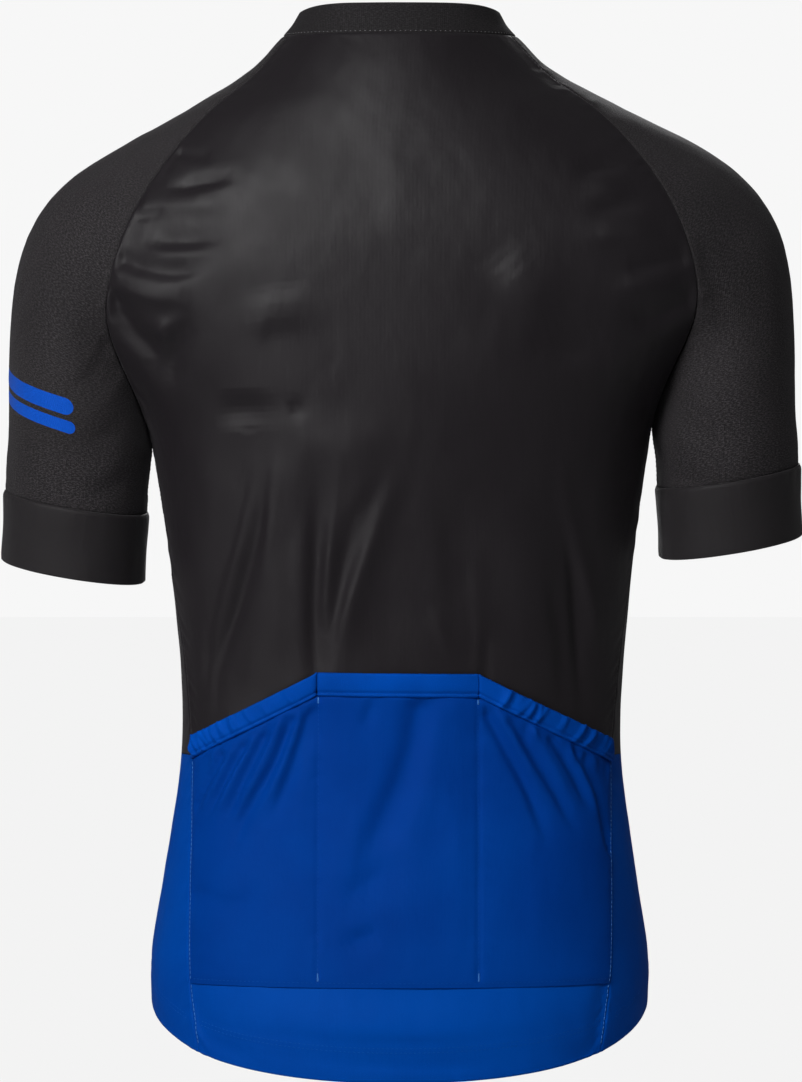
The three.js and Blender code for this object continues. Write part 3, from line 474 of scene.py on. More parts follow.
def crease_line(grid, normals, points, facing):
    """A smooth line on the cloth through the given x and z places."""
    spots = np.array([grid[on_cloth(grid, normals, x, z, facing)] for x, z in points])
    knots = np.concatenate([[0], np.cumsum(np.linalg.norm(np.diff(spots, axis=0), axis=1))])
    keep = np.concatenate([[True], np.diff(knots) > 1e-6])
    count = max(8, int(knots[-1] / 4))
    return spline(spots[keep], knots[keep], np.linspace(0, knots[-1], count))


def crease_height(grid, normals, creases, facing):
    """The sum of soft ridges and troughs along listed lines. A line fades out at both
    ends, but not where it starts at a seam."""
    flat = grid.reshape(-1, 3)
    height = np.zeros(len(flat))
    out = normals.reshape(-1, 3)
    sides = (grid[:, 0], grid[:, -1], grid[0])
    for points, width, rise in creases:
        line = crease_line(grid, normals, points, facing)
        at_seam = [
            min(np.linalg.norm(side - end, axis=1).min() for side in sides) < FROM_SEAM
            for end in (line[0], line[-1])
        ]
        near = np.all((flat > line.min(0) - 4 * width) & (flat < line.max(0) + 4 * width), axis=1)
        spots = flat[near]
        away = np.linalg.norm(spots[:, None] - line[None], axis=-1)
        k = np.argmin(away, axis=1)
        along = k / (len(line) - 1)
        run = unit(np.gradient(line, axis=0))[k]
        offset = spots - line[k]
        side = np.sign(np.einsum("ij,ij->i", np.cross(out[near], run), offset))
        lean = 1 + 0.35 * side
        fade_in = 1 if at_seam[0] else smoothstep(0, 0.45, along)
        fade_out = 1 if at_seam[1] else smoothstep(0, 0.45, 1 - along)
        taper = fade_in * fade_out
        bell = np.exp(-((away[np.arange(len(k)), k] / (width * lean)) ** 2))
        height[near] += rise * taper * bell
    return height.reshape(grid.shape[:2])


def ripples(grid, size, seed, stretch=(1, 1, 1)):
    """Smooth uneven waves of about the given size, from -1 to 1."""
    rng = np.random.default_rng(seed)
    total = np.zeros(grid.shape[:2])
    scaled = grid * np.array(stretch)
    for _ in range(14):
        way = unit(rng.normal(size=3))
        wave = 2 * math.pi / (size * rng.uniform(0.7, 1.6))
        total += np.sin(scaled @ way * wave + rng.uniform(0, 2 * math.pi))
    return total / 14**0.5 / 1.6


def seam_puckers(distance, along, reach, size, height, seed):
    """Short wrinkles that the stitching draws in beside a seam."""
    rng = np.random.default_rng(seed)
    wave = np.zeros_like(along)
    for _ in range(5):
        wave += np.sin(2 * math.pi * along / (size * rng.uniform(0.6, 1.8)) + rng.uniform(0, 6.3))
    return height * wave / 2.2 * np.exp(-((distance / reach) ** 2))


def seam_groove(distances, edges):
    """Cloth rolls in towards a seam over its last couple of millimetres."""
    sink = 0
    for edge in edges:
        sink = sink + (1 - smoothstep(0, SEAM_WIDTH, distances[edge])) ** 1.5
    return -SEAM_DEPTH * np.minimum(sink, 1) if len(edges) else 0


def close_gaps(grid, edges):
    """Moves the sewn edges out until they meet their neighbours."""
    grid = grid.copy()
    reach = SEAM_GAP / 2 + 0.06
    if "start" in edges:
        grid[:, 0] += unit(grid[:, 0] - grid[:, 1]) * reach
    if "end" in edges:
        grid[:, -1] += unit(grid[:, -1] - grid[:, -2]) * reach
    if "top" in edges:
        grid[0] += unit(grid[0] - grid[1]) * reach
    if "bottom" in edges:
        grid[-1] += unit(grid[-1] - grid[-2]) * reach
    return grid


# Making meshes


def new_object(name, vertices, faces, material):
    mesh = bpy.data.meshes.new(name)
    mesh.from_pydata((np.asarray(vertices) * MM).tolist(), [], faces)
    mesh.materials.append(material)
    mesh.polygons.foreach_set("use_smooth", np.ones(len(mesh.polygons), bool))
    mesh.update()
    obj = bpy.data.objects.new(name, mesh)
    bpy.context.scene.collection.objects.link(obj)
    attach(obj, BODY)
    return obj


def border_loop(rows, columns):
    top = [(0, i) for i in range(columns - 1)]
    end = [(j, columns - 1) for j in range(rows - 1)]
    bottom = [(rows - 1, i) for i in range(columns - 1, 0, -1)]
    start = [(j, 0) for j in range(rows - 1, 0, -1)]
    return np.array(top + end + bottom + start)


def shell(name, grid, thickness, material):
    """A thin closed sheet: the grid, an inner face behind it and a rounded rim."""
    rows, columns = grid.shape[:2]
    normals = normals_of(grid)
    inner = grid - normals * thickness
    loop = border_loop(rows, columns)
    j, i = loop.T
    inward = grid[np.clip(j, 1, rows - 2), np.clip(i, 1, columns - 2)]
    outward = grid[j, i] - inward
    outward -= np.einsum("ij,ij->i", outward, normals[j, i])[:, None] * normals[j, i]
    rim = (grid[j, i] + inner[j, i]) / 2 + unit(outward) * thickness * RIM_ROUND
    layer = rows * columns
    index = np.arange(layer).reshape(rows, columns)
    quads = np.stack([index[:-1, :-1], index[1:, :-1], index[1:, 1:], index[:-1, 1:]], axis=-1)
    quads = quads.reshape(-1, 4)[:, ::-1]
    back = quads[:, ::-1] + layer
    edge = index[j, i]
    ahead = np.roll(edge, -1)
    middle = 2 * layer + np.arange(len(loop))
    middle_ahead = np.roll(middle, -1)
    front_rim = np.stack([ahead, edge, middle, middle_ahead], axis=-1)
    back_rim = np.stack([middle_ahead, middle, edge + layer, ahead + layer], axis=-1)
    vertices = np.concatenate([grid.reshape(-1, 3), inner.reshape(-1, 3), rim])
    faces = np.concatenate([quads, back, front_rim, back_rim])
    obj = new_object(name, vertices, faces.tolist(), material)
    cloth = cloth_coordinates(grid)
    flat = cloth.reshape(-1, 2)
    uv = np.concatenate([flat, flat, cloth[j, i]]) * MM
    corners = np.empty(len(obj.data.loops), int)
    obj.data.loops.foreach_get("vertex_index", corners)
    layer_uv = obj.data.uv_layers.new(name="cloth")
    layer_uv.data.foreach_set("uv", uv[corners].ravel())
    return obj


# Materials


class Nodes:
    """A material's nodes, with short calls to add and join them."""

    def __init__(self, name):
        self.material = bpy.data.materials.new(name)
        self.material.use_nodes = True
        self.tree = self.material.node_tree
        self.shader = self.tree.nodes["Principled BSDF"]

    def add(self, kind, **settings):
        node = self.tree.nodes.new(kind)
        for key, value in settings.items():
            setattr(node, key, value)
        return node

    def join(self, source, target):
        self.tree.links.new(source, target)

    def math(self, operation, a, b=None, c=None, clamp=False):
        node = self.add("ShaderNodeMath", operation=operation, use_clamp=clamp)
        for socket, value in zip(node.inputs, (a, b, c)):
            self.put(socket, value)
        return node.outputs[0]

    def vector(self, operation, a, b=None):
        node = self.add("ShaderNodeVectorMath", operation=operation)
        self.put(node.inputs[0], a)
        self.put(node.inputs[1], b)
        return node.outputs["Value"] if operation in ("DOT_PRODUCT", "LENGTH") else node.outputs[0]

    def scaled(self, vector, amount):
        node = self.add("ShaderNodeVectorMath", operation="SCALE")
        self.put(node.inputs[0], vector)
        self.put(node.inputs["Scale"], amount)
        return node.outputs[0]

    def put(self, socket, value):
        if value is None:
            return
        if isinstance(value, bpy.types.NodeSocket):
            self.join(value, socket)
        else:
            socket.default_value = value

    def noise(self, vector, scale, detail=3.0, roughness=0.5):
        node = self.add("ShaderNodeTexNoise")
        self.put(node.inputs["Vector"], vector)
        node.inputs["Scale"].default_value = scale
        node.inputs["Detail"].default_value = detail
        node.inputs["Roughness"].default_value = roughness
        return node.outputs["Fac"]

    def spread(self, value, low, high, to_low=0.0, to_high=1.0):
        node = self.add("ShaderNodeMapRange", interpolation_type="SMOOTHSTEP")
        for socket, number in zip(node.inputs, (value, low, high, to_low, to_high)):
            self.put(socket, number)
        return node.outputs[0]

    def mix(self, factor, a, b):
        node = self.add("ShaderNodeMix", data_type="RGBA")
        self.put(node.inputs["Factor"], factor)
        self.put(node.inputs["A"], a if isinstance(a, bpy.types.NodeSocket) else (*a, 1))
        self.put(node.inputs["B"], b if isinstance(b, bpy.types.NodeSocket) else (*b, 1))
        return node.outputs["Result"]

    def bump(self, height, distance, strength=1.0, before=None):
        node = self.add("ShaderNodeBump")
        self.put(node.inputs["Height"], height)
        node.inputs["Distance"].default_value = distance
        node.inputs["Strength"].default_value = strength
        self.put(node.inputs["Normal"], before)
        return node.outputs["Normal"]

    def cloth(self):
        return self.add("ShaderNodeUVMap", uv_map="cloth").outputs["UV"]

    def position(self):
        return self.add("ShaderNodeTexCoord").outputs["Object"]


def knit(n, cloth, wale, course):
    """Height of a plain knit: columns of small V-shaped loops."""
    split = n.add("ShaderNodeSeparateXYZ")
    n.join(cloth, split.inputs[0])
    across = n.math("DIVIDE", split.outputs[0], wale)
    down = n.math("DIVIDE", split.outputs[1], course)
    place = n.math("FRACT", across)
    off = n.math("ABSOLUTE", n.math("SUBTRACT", place, 0.5))
    column = n.math("SINE", n.math("MULTIPLY", place, math.pi))
    slant = n.math("ADD", down, n.math("MULTIPLY", off, 1.1))
    loop = n.math("SINE", n.math("MULTIPLY", slant, 2 * math.pi))
    return n.math("MULTIPLY", column, n.math("MULTIPLY_ADD", loop, 0.35, 0.65))


def finish_cloth(n, colour, height, knit_depth, roughness, sheen, sheen_tint, gloss=0.3):
    """Bump of the knit over soft crumples, uneven roughness and a little sheen."""
    position = n.position()
    wrinkle = n.noise(n.vector("MULTIPLY", position, (1.0, 1.0, 0.45)), 62.0, 3.0, 0.45)
    soft = n.bump(wrinkle, 0.0014, 0.5)
    normal = n.bump(height, knit_depth, 0.8, soft)
    n.put(n.shader.inputs["Base Color"], colour)
    n.put(n.shader.inputs["Normal"], normal)
    rough = n.spread(n.noise(position, 24.0, 3.0), 0.3, 0.7, roughness - 0.05, roughness + 0.05)
    n.put(n.shader.inputs["Roughness"], rough)
    n.shader.inputs["Sheen Weight"].default_value = sheen
    n.shader.inputs["Sheen Roughness"].default_value = 0.45
    n.shader.inputs["Sheen Tint"].default_value = (*sheen_tint, 1)
    n.shader.inputs["Specular IOR Level"].default_value = gloss
    return n.material


def body_material(name, sheen, tint, gloss):
    """Smooth knit, printed: black above a clean line and blue below it."""
    n = Nodes(name)
    cloth = n.cloth()
    position = n.position()
    height = knit(n, cloth, 0.00085, 0.0007)
    patch = n.noise(position, 9.0, 4.0, 0.55)
    grain = n.noise(cloth, 1600.0, 2.0, 0.6)
    black = n.mix(n.math("MULTIPLY", patch, 0.5), BLACK, tuple(c * 0.8 for c in BLACK))
    black = n.mix(n.spread(grain, 0.5, 0.75, 0.0, 0.35), black, tuple(c * 1.9 for c in BLACK))
    # The print's blue is lighter than the pocket's, as painted light on the tail.
    blue = n.mix(n.spread(patch, 0.3, 0.7), PRINT_BLUE_LIT, PRINT_BLUE_DEEP_LIT)
    blue = n.mix(n.spread(grain, 0.5, 0.75, 0.0, 0.3), blue, tuple(c * 1.5 for c in PRINT_BLUE_LIT))
    split = n.add("ShaderNodeSeparateXYZ")
    n.join(position, split.inputs[0])
    below = n.spread(split.outputs[2], PRINT_BREAK * MM + 0.0003, PRINT_BREAK * MM - 0.0003)
    colour = n.mix(below, black, blue)
    return finish_cloth(n, colour, height, 0.00006, 0.46, sheen, tint, gloss)


def blue_material(name, light, deep):
    n = Nodes(name)
    cloth = n.cloth()
    position = n.position()
    height = knit(n, cloth, 0.00085, 0.0007)
    patch = n.noise(position, 9.0, 4.0, 0.55)
    grain = n.noise(cloth, 1600.0, 2.0, 0.6)
    colour = n.mix(n.spread(patch, 0.3, 0.7), light, deep)
    colour = n.mix(n.spread(grain, 0.5, 0.75, 0.0, 0.3), colour, tuple(c * 1.5 for c in light))
    return finish_cloth(n, colour, height, 0.00009, 0.5, 0.01, (0.2, 0.5, 1.0), 0.02)


def bar_mask(n, cloth, start, end, half):
    """1 inside a bar with rounded ends, from start to end: round the sleeve, and in height."""
    span = (end[0] - start[0], end[1] - start[1])
    length = span[0] ** 2 + span[1] ** 2
    from_start = n.vector("SUBTRACT", cloth, (start[0], start[1], 0))
    along = n.vector("DOT_PRODUCT", from_start, (span[0] / length, span[1] / length, 0))
    along = n.math("ADD", along, 0.0, clamp=True)
    offset = n.vector("SUBTRACT", from_start, n.scaled((span[0], span[1], 0), along))
    return n.spread(n.vector("LENGTH", offset), half + 0.0002, half - 0.0002)


def heather_material(name, light_fibre, bars=()):
    """Textured knit of dark and lighter fibres, with printed bars where a sleeve has them."""
    n = Nodes(name)
    cloth = n.cloth()
    height = knit(n, cloth, 0.0013, 0.0011)
    flecks = n.noise(n.vector("MULTIPLY", cloth, (0.55, 1.3, 1.0)), 950.0, 3.0, 0.65)
    fine = n.noise(cloth, 2300.0, 2.0, 0.7)
    patch = n.noise(n.position(), 14.0, 3.0)
    mixed = n.math("ADD", n.math("MULTIPLY", flecks, 0.6), n.math("MULTIPLY", fine, 0.4))
    light = n.spread(mixed, 0.44, 0.64)
    light = n.math("MULTIPLY", light, n.spread(patch, 0.3, 0.7, 0.55, 0.85))
    colour = n.mix(light, HEATHER_DARK, light_fibre)
    around = n.add("ShaderNodeSeparateXYZ")
    n.join(cloth, around.inputs[0])
    upright = n.add("ShaderNodeSeparateXYZ")
    n.join(n.position(), upright.inputs[0])
    place = n.add("ShaderNodeCombineXYZ")
    n.join(around.outputs[0], place.inputs[0])
    n.join(upright.outputs[2], place.inputs[1])
    for start, end, half in bars:
        mask = bar_mask(n, place.outputs[0], start, end, half)
        colour = n.mix(mask, colour, BAR_BLUE)
    relief = n.math("ADD", height, flecks)
    return finish_cloth(n, colour, relief, 0.00022, 0.66, 0.06, (0.92, 0.9, 0.95), 0.13)


def cuff_material():
    n = Nodes("cuff_knit")
    cloth = n.cloth()
    height = knit(n, cloth, 0.0008, 0.00075)
    grain = n.noise(cloth, 1500.0, 2.0, 0.6)
    colour = n.mix(n.spread(grain, 0.45, 0.75, 0.0, 0.4), CUFF_BLACK, tuple(c * 2.0 for c in CUFF_BLACK))
    return finish_cloth(n, colour, height, 0.00012, 0.58, 0.08, (0.92, 0.9, 0.94), 0.22)


def thread_material(name, colour):
    n = Nodes(name)
    twist = n.noise(n.position(), 5200.0, 2.0)
    dark = tuple(c * 0.65 for c in colour)
    n.put(n.shader.inputs["Base Color"], n.mix(twist, dark, colour))
    n.put(n.shader.inputs["Normal"], n.bump(twist, 0.00006))
    n.shader.inputs["Roughness"].default_value = 0.55
    n.shader.inputs["Sheen Weight"].default_value = 0.05
    n.shader.inputs["Specular IOR Level"].default_value = 0.12
    return n.material


def tape_material():
    """Woven zip tape: fine diagonal ribs."""
    n = Nodes("zip_tape")
    split = n.add("ShaderNodeSeparateXYZ")
    n.join(n.cloth(), split.inputs[0])
    slant = n.math("ADD", n.math("ABSOLUTE", split.outputs[0]), split.outputs[1])
    rib = n.math("SINE", n.math("MULTIPLY", slant, 2 * math.pi / 0.0009))
    cross = n.math("SINE", n.math("MULTIPLY", split.outputs[0], 2 * math.pi / 0.0007))
    height = n.math("MULTIPLY_ADD", cross, 0.3, rib)
    # The ribs' tops are painted lighter and their grooves darker: painted highlight and shade over the
    # ribs' bump.
    colour = n.mix(n.spread(rib, -1, 1), TAPE_BLACK, tuple(c * 2.2 for c in TAPE_BLACK))
    n.put(n.shader.inputs["Base Color"], colour)
    n.put(n.shader.inputs["Normal"], n.bump(height, 0.00012))
    n.shader.inputs["Roughness"].default_value = 0.7
    n.shader.inputs["Sheen Weight"].default_value = 0.2
    return n.material


def teeth_material():
    n = Nodes("zip_teeth")
    grain = n.noise(n.position(), 900.0, 3.0)
    n.put(n.shader.inputs["Base Color"], n.mix(grain, TEETH_BLACK, tuple(c * 1.6 for c in TEETH_BLACK)))
    n.put(n.shader.inputs["Roughness"], n.spread(grain, 0.3, 0.7, 0.3, 0.45))
    return n.material


def metal_material():
    """Dark plated metal with fine scratches and worn patches."""
    n = Nodes("zip_metal")
    position = n.position()
    scratch = n.noise(n.vector("MULTIPLY", position, (1, 1, 0.08)), 3800.0, 3.0, 0.6)
    wear = n.spread(n.noise(position, 700.0, 4.0), 0.45, 0.7)
    n.put(n.shader.inputs["Base Color"], n.mix(wear, METAL, tuple(c * 1.7 for c in METAL)))
    n.put(n.shader.inputs["Roughness"], n.spread(scratch, 0.3, 0.7, 0.24, 0.42))
    n.put(n.shader.inputs["Normal"], n.bump(scratch, 0.00002))
    n.shader.inputs["Metallic"].default_value = 1.0
    return n.material


# Stitches


def resampled(line, extra, spacing):
    """A line and what goes with it, at even spacing."""
    steps = np.linalg.norm(np.diff(line, axis=0), axis=1)
    keep = np.concatenate([[True], steps > 1e-6])
    line = line[keep]
    extra = extra[keep]
    knots = np.concatenate([[0], np.cumsum(np.linalg.norm(np.diff(line, axis=0), axis=1))])
    at = np.arange(spacing / 2, knots[-1] - spacing / 2, spacing)
    return spline(line, knots, at), unit(spline(extra, knots, at))


def stitch_shape():
    """One stitch about the origin, along x, lying on its side: points and faces."""
    rings = [(-0.38, 0.7), (0.0, 1.0), (0.38, 0.7)]
    angles = [2 * math.pi * k / STITCH_SIDES for k in range(STITCH_SIDES)]
    points = [(-0.5, 0, 0)]
    for x, wide in rings:
        points += [(x, wide * math.cos(a), wide * math.sin(a)) for a in angles]
    points.append((0.5, 0, 0))
    last = len(points) - 1
    faces = []
    for k in range(STITCH_SIDES):
        after = (k + 1) % STITCH_SIDES
        faces.append((0, 1 + after, 1 + k))
        for ring in range(2):
            base = 1 + ring * STITCH_SIDES
            faces.append((base + k, base + after, base + after + STITCH_SIDES, base + k + STITCH_SIDES))
        top = 1 + 2 * STITCH_SIDES
        faces.append((top + k, top + after, last))
    return np.array(points, float), faces


SHAPE_POINTS, SHAPE_FACES = stitch_shape()


def stitches(name, lines, material, slot, length=None, gap=None, radius=None, turn=0.0):
    """One mesh of stitches along several lines. turn slants them, as on a zigzag."""
    length = length or STITCH["length"]
    gap = gap or STITCH["gap"]
    radius = radius or STITCH["radius"]
    vertices = []
    faces = []
    count = 0
    for line, normals in lines:
        at, out = resampled(line, normals, length + gap)
        run = unit(np.gradient(at, axis=0))
        beside = unit(np.cross(out, run))
        for k, (p, t, b, o) in enumerate(zip(at, run, beside, out)):
            if turn:
                way = turn if k % 2 else -turn
                t, b = t * math.cos(way) + b * math.sin(way), b * math.cos(way) - t * math.sin(way)
            local = SHAPE_POINTS * np.array([length, radius, radius])
            sag = o * (0.35 * radius - (SHAPE_POINTS[:, :1] * 2) ** 2 * radius * 0.9)
            vertices.append(p + local[:, :1] * t + local[:, 1:2] * b + local[:, 2:] * o + sag)
            faces += [tuple(v + count for v in f) for f in SHAPE_FACES]
            count += len(SHAPE_POINTS)
    return new_object(name, np.concatenate(vertices), faces, material)


def inset_line(grid, edge, distance, skip=(0, 0)):
    """A line that runs along one edge of a grid, a given distance in from it."""
    normals = normals_of(grid)
    away = edge_distances(grid)[edge]
    if edge in ("start", "end"):
        series = [(grid[j], normals[j], away[j]) for j in range(len(grid))]
    else:
        series = [(grid[:, i], normals[:, i], away[:, i]) for i in range(grid.shape[1])]
    line = []
    out = []
    for points, ways, far in series[skip[0] : len(series) - skip[1]]:
        order = np.argsort(far)
        line.append([np.interp(distance, far[order], points[order, k]) for k in range(3)])
        out.append([np.interp(distance, far[order], ways[order, k]) for k in range(3)])
    return np.array(line), unit(np.array(out))


def line_at_x(grid, x, skip):
    """A line down a grid where it passes a given x, without its first and last rows."""
    normals = normals_of(grid)
    line = []
    out = []
    for row, ways in zip(grid[skip:-skip], normals[skip:-skip]):
        order = np.argsort(row[:, 0])
        line.append([np.interp(x, row[order, 0], row[order, k]) for k in range(3)])
        out.append([np.interp(x, row[order, 0], ways[order, k]) for k in range(3)])
    return np.array(line), unit(np.array(out))


def between(line, low, high):
    """The part of a line that lies between two heights."""
    points, normals = line
    inside = (points[:, 2] > low) & (points[:, 2] < high)
    return points[inside], normals[inside]


def tack(grid, x, from_top, length, from_bottom=None):
    """A short upright line for a close zigzag, at x on a grid and near its top or bottom."""
    points, normals = line_at_x(grid, x, 1)
    run = np.concatenate([[0], np.cumsum(np.linalg.norm(np.diff(points, axis=0), axis=1))])
    low = from_top if from_bottom is None else run[-1] - from_bottom - length
    at = np.linspace(low, low + length, 6)
    return spline(points, run, at), unit(spline(normals, run, at))


# The pieces


def mirrored(creases):
    return [([(-x, z) for x, z in points], width, rise) for points, width, rise in creases]


SEEN_FROM_BEHIND = (0, 1, 0)
SEEN_FROM_FRONT = (0, -1, 0)
grids = {}


def hem_relief(distances):
    """The folded hem stands a little proud, with a soft step at its stitch line."""
    low = distances["bottom"]
    relief = 0.45 * smoothstep(HEM_BAND + 1.6, HEM_BAND + 0.4, low)
    for row in HEM_ROWS:
        relief = relief - 0.3 * np.exp(-(((low - row) / 0.9) ** 2))
    return relief


def run_under(grid):
    """A grid with a short strip below it, which lies under the piece that it is sewn to."""
    normals = normals_of(grid)
    way = unit(grid[-1] - grid[-2]) * UNDER_REACH + normals[-1] * UNDER_OUT
    strip = [grid[-1] + way * share for share in (0.35, 1.0)]
    return np.concatenate([grid, np.stack(strip)])


def dress(name, spacing, sewn, thickness, relief, material, spacing_down=None, ease=0, under=False):
    """Makes one cloth piece from its node: finer, creased by relief, sewn along some edges."""
    grid = finer(close_gaps(wall_grid(name), sewn), spacing, spacing_down)
    grid = eased(grid, ease)
    normals = normals_of(grid)
    distances = edge_distances(grid)
    height = relief(grid, normals, distances) + seam_groove(distances, sewn)
    grid = grid + normals * height[..., None]
    grids[name] = grid
    if under:
        grid = run_under(grid)
    obj = shell("cloth_" + name, grid, thickness, material)
    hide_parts(name)
    return obj


def print_lower(obj, material):
    """Gives the faces below the print's break the duller finish of the printed cloth."""
    obj.data.materials.append(material)
    for face in obj.data.polygons:
        if face.center.z < PRINT_BREAK * MM:
            face.material_index = 1


def under_pocket(grid):
    """1 where the back lies under the pocket, fading to 0 at the pocket's edges."""
    pocket = wall_grid("pocket")
    bands = [wall_grid("pocket_band_" + part)[0] for part in ("left", "center", "right")]
    top = np.concatenate(bands)
    top = top[np.argsort(top[:, 0])]
    x, y, z = np.moveaxis(grid, -1, 0)
    below = smoothstep(0, 9, np.interp(x, top[:, 0], top[:, 2]) - z)
    above = smoothstep(2, 14, z - pocket[-1, :, 2].max())
    side = np.abs(pocket[::-1, 0, 0])
    inside = smoothstep(2, 12, np.interp(z, pocket[::-1, 0, 2], side) - np.abs(x))
    return below * above * inside * (y > 0)


def make_back(material):
    def relief(grid, normals, distances):
        height = crease_height(grid, normals, BACK_CREASES, SEEN_FROM_BEHIND)
        height += 0.35 * ripples(grid, 46, 3, (1, 1, 0.5))
        height += 0.12 * ripples(grid, 15, 4, (1, 1, 0.6))
        for k, edge in enumerate(("start", "end")):
            height += seam_puckers(distances[edge], distances["top"], 9, 13, 0.4, 11 + k)
        height += seam_puckers(distances["top"], distances["start"], 5, 11, 0.25, 13)
        ends = np.minimum(distances["start"], distances["end"])
        height *= smoothstep(-1, 6, ends) * smoothstep(-1, 5, distances["top"])
        hidden = under_pocket(grid)
        height = height * (1 - hidden) - UNDER_POCKET * hidden
        return height + hem_relief(distances)

    sewn = ("start", "end", "top")
    return dress("back", GRID, sewn, CLOTH, relief, material, ease=EASE)


def zip_side(grid):
    """Which edge of a front runs along the zip."""
    return "start" if abs(grid[5, 0, 0]) < abs(grid[5, -1, 0]) else "end"


def make_front(name, left, material):
    creases = FRONT_CREASES if left else mirrored(FRONT_CREASES)

    def relief(grid, normals, distances):
        height = crease_height(grid, normals, creases, SEEN_FROM_FRONT)
        height += 0.35 * ripples(grid, 44, 7 if left else 8, (1, 1, 0.5))
        height += 0.12 * ripples(grid, 14, 9 if left else 10, (1, 1, 0.6))
        zip_edge = zip_side(grid)
        seam_edge = "end" if zip_edge == "start" else "start"
        height += seam_puckers(distances[seam_edge], distances["top"], 9, 13, 0.4, 21 + left)
        height += seam_puckers(distances[zip_edge], distances["top"], 10, 17, 0.35, 23 + left)
        height *= smoothstep(-1, 6, distances[seam_edge]) * smoothstep(-1, 5, distances["top"])
        height *= smoothstep(-2, 9, distances[zip_edge])
        row = -0.3 * np.exp(-(((distances[zip_edge] - 6) / 0.9) ** 2))
        return height + row + hem_relief(distances)

    seam = "end" if zip_side(wall_grid(name)) == "start" else "start"
    return dress(name, GRID, (seam, "top"), CLOTH, relief, material, ease=EASE)


def make_sleeve(name, left, material):
    behind = SLEEVE_BACK_CREASES if left else mirrored(SLEEVE_BACK_CREASES)
    front = SLEEVE_FRONT_CREASES if left else mirrored(SLEEVE_FRONT_CREASES)

    def relief(grid, normals, distances):
        height = crease_height(grid, normals, behind, SEEN_FROM_BEHIND)
        height += crease_height(grid, normals, front, SEEN_FROM_FRONT)
        height += 0.3 * ripples(grid, 34, 15 + left, (1, 1, 0.8))
        height += 0.1 * ripples(grid, 12, 17 + left)
        for k, edge in enumerate(("start", "end")):
            height += seam_puckers(distances[edge], distances["top"], 8, 12, 0.4, 31 + k + 2 * left)
        height += seam_puckers(distances["bottom"], distances["start"], 7, 10, 0.3, 35 + left)
        sides = np.minimum(distances["start"], distances["end"])
        height *= smoothstep(-1, 6, sides) * smoothstep(-1, 5, distances["bottom"])
        return height * smoothstep(-1, 5, distances["top"])

    sewn = ("start", "end", "top", "bottom")
    turns = EASE // 2
    return dress(name, GRID, sewn, CLOTH, relief, material, ease=turns, under=True)


def make_cuff(name, left, material):
    def relief(grid, normals, distances):
        height = 0.25 * ripples(grid, 26, 41 + left)
        height += seam_puckers(distances["top"], distances["start"], 6, 9, 0.25, 43 + left)
        return height * smoothstep(-1, 4, np.minimum(distances["top"], distances["bottom"]))

    return dress(name, 1.9, ("start", "end", "top"), FOLDED, relief, material)


def make_collar(material):
    def relief(grid, normals, distances):
        height = 0.22 * ripples(grid, 24, 47)
        height += seam_puckers(distances["bottom"], distances["start"], 4, 8, 0.2, 48)
        return height * smoothstep(-1, 4, np.minimum(distances["top"], distances["bottom"]))

    return dress("collar", 1.5, ("bottom",), FOLDED, relief, material)


def make_pocket(material):
    def relief(grid, normals, distances):
        height = crease_height(grid, normals, POCKET_CREASES, SEEN_FROM_BEHIND)
        height *= smoothstep(-3, 8, distances["top"])
        height += 0.3 * ripples(grid, 40, 51, (1, 1, 0.6))
        height += 0.1 * ripples(grid, 13, 52)
        x = grid[..., 0]
        for division in DIVISIONS:
            height += -0.95 * np.exp(-(((x - division) / 1.3) ** 2))
            height += seam_puckers(np.abs(x - division), distances["top"], 6, 14, 0.25, 53)
        low = distances["bottom"]
        height += -0.4 * np.exp(-(((low - 3) / 1.2) ** 2))
        gathered = smoothstep(50, 66, np.abs(x))
        below_band = smoothstep(0.5, 6, distances["top"])
        puckers = seam_puckers(distances["top"], distances["start"], 10, 9, 1.1, 61)
        height += gathered * below_band * puckers
        height *= smoothstep(-1, 8, low)
        sides = np.minimum(distances["start"], distances["end"])
        height *= smoothstep(-1, 5, sides)
        return height - TUCK * (1 - smoothstep(0, 4.5, low)) - TUCK * (1 - smoothstep(0, 6, sides))

    return dress("pocket", 1.9, ("top",), CLOTH, relief, material)


def gathers(distances, outer, seed):
    """Uneven slanted wrinkles across an elastic band, closest together at its outer end."""
    rng = np.random.default_rng(seed)
    inner = "start" if outer == "end" else "end"
    length = (distances[outer] + distances[inner]).max()
    total = np.zeros_like(distances[outer])
    for _ in range(GATHERS):
        centre = length * rng.uniform(0.01, 0.86) ** 1.15
        lean = rng.uniform(-0.75, -0.25)
        width = rng.uniform(1.1, 2.3)
        away = distances[outer] - centre + lean * (distances["top"] - 7)
        reach = smoothstep(-2, rng.uniform(2, 6), distances["bottom"])
        reach = reach * smoothstep(-3, rng.uniform(0, 5), distances["top"])
        total += rng.uniform(0.35, 1.0) * reach * np.exp(-((away / width) ** 2))
    return (total - total.mean()) * smoothstep(-0.5, 3, distances[outer])


def make_band(name, outer, material):
    def relief(grid, normals, distances):
        height = 0.22 * ripples(grid, 18, 57, (1, 1, 0.25))
        if outer:
            height += BAND_GATHER * gathers(distances, outer, 59 if outer == "end" else 60)
        row = -0.9 * np.exp(-(((distances["bottom"] - 2.6) / 0.75) ** 2))
        ridge = 0.3 * np.exp(-(((distances["bottom"] - 1.0) / 0.8) ** 2))
        return height + row + ridge

    sewn = ("bottom",)
    return dress(name, FINE_GRID, sewn, FOLDED, relief, material, 0.9, ease=BAND_EASE)


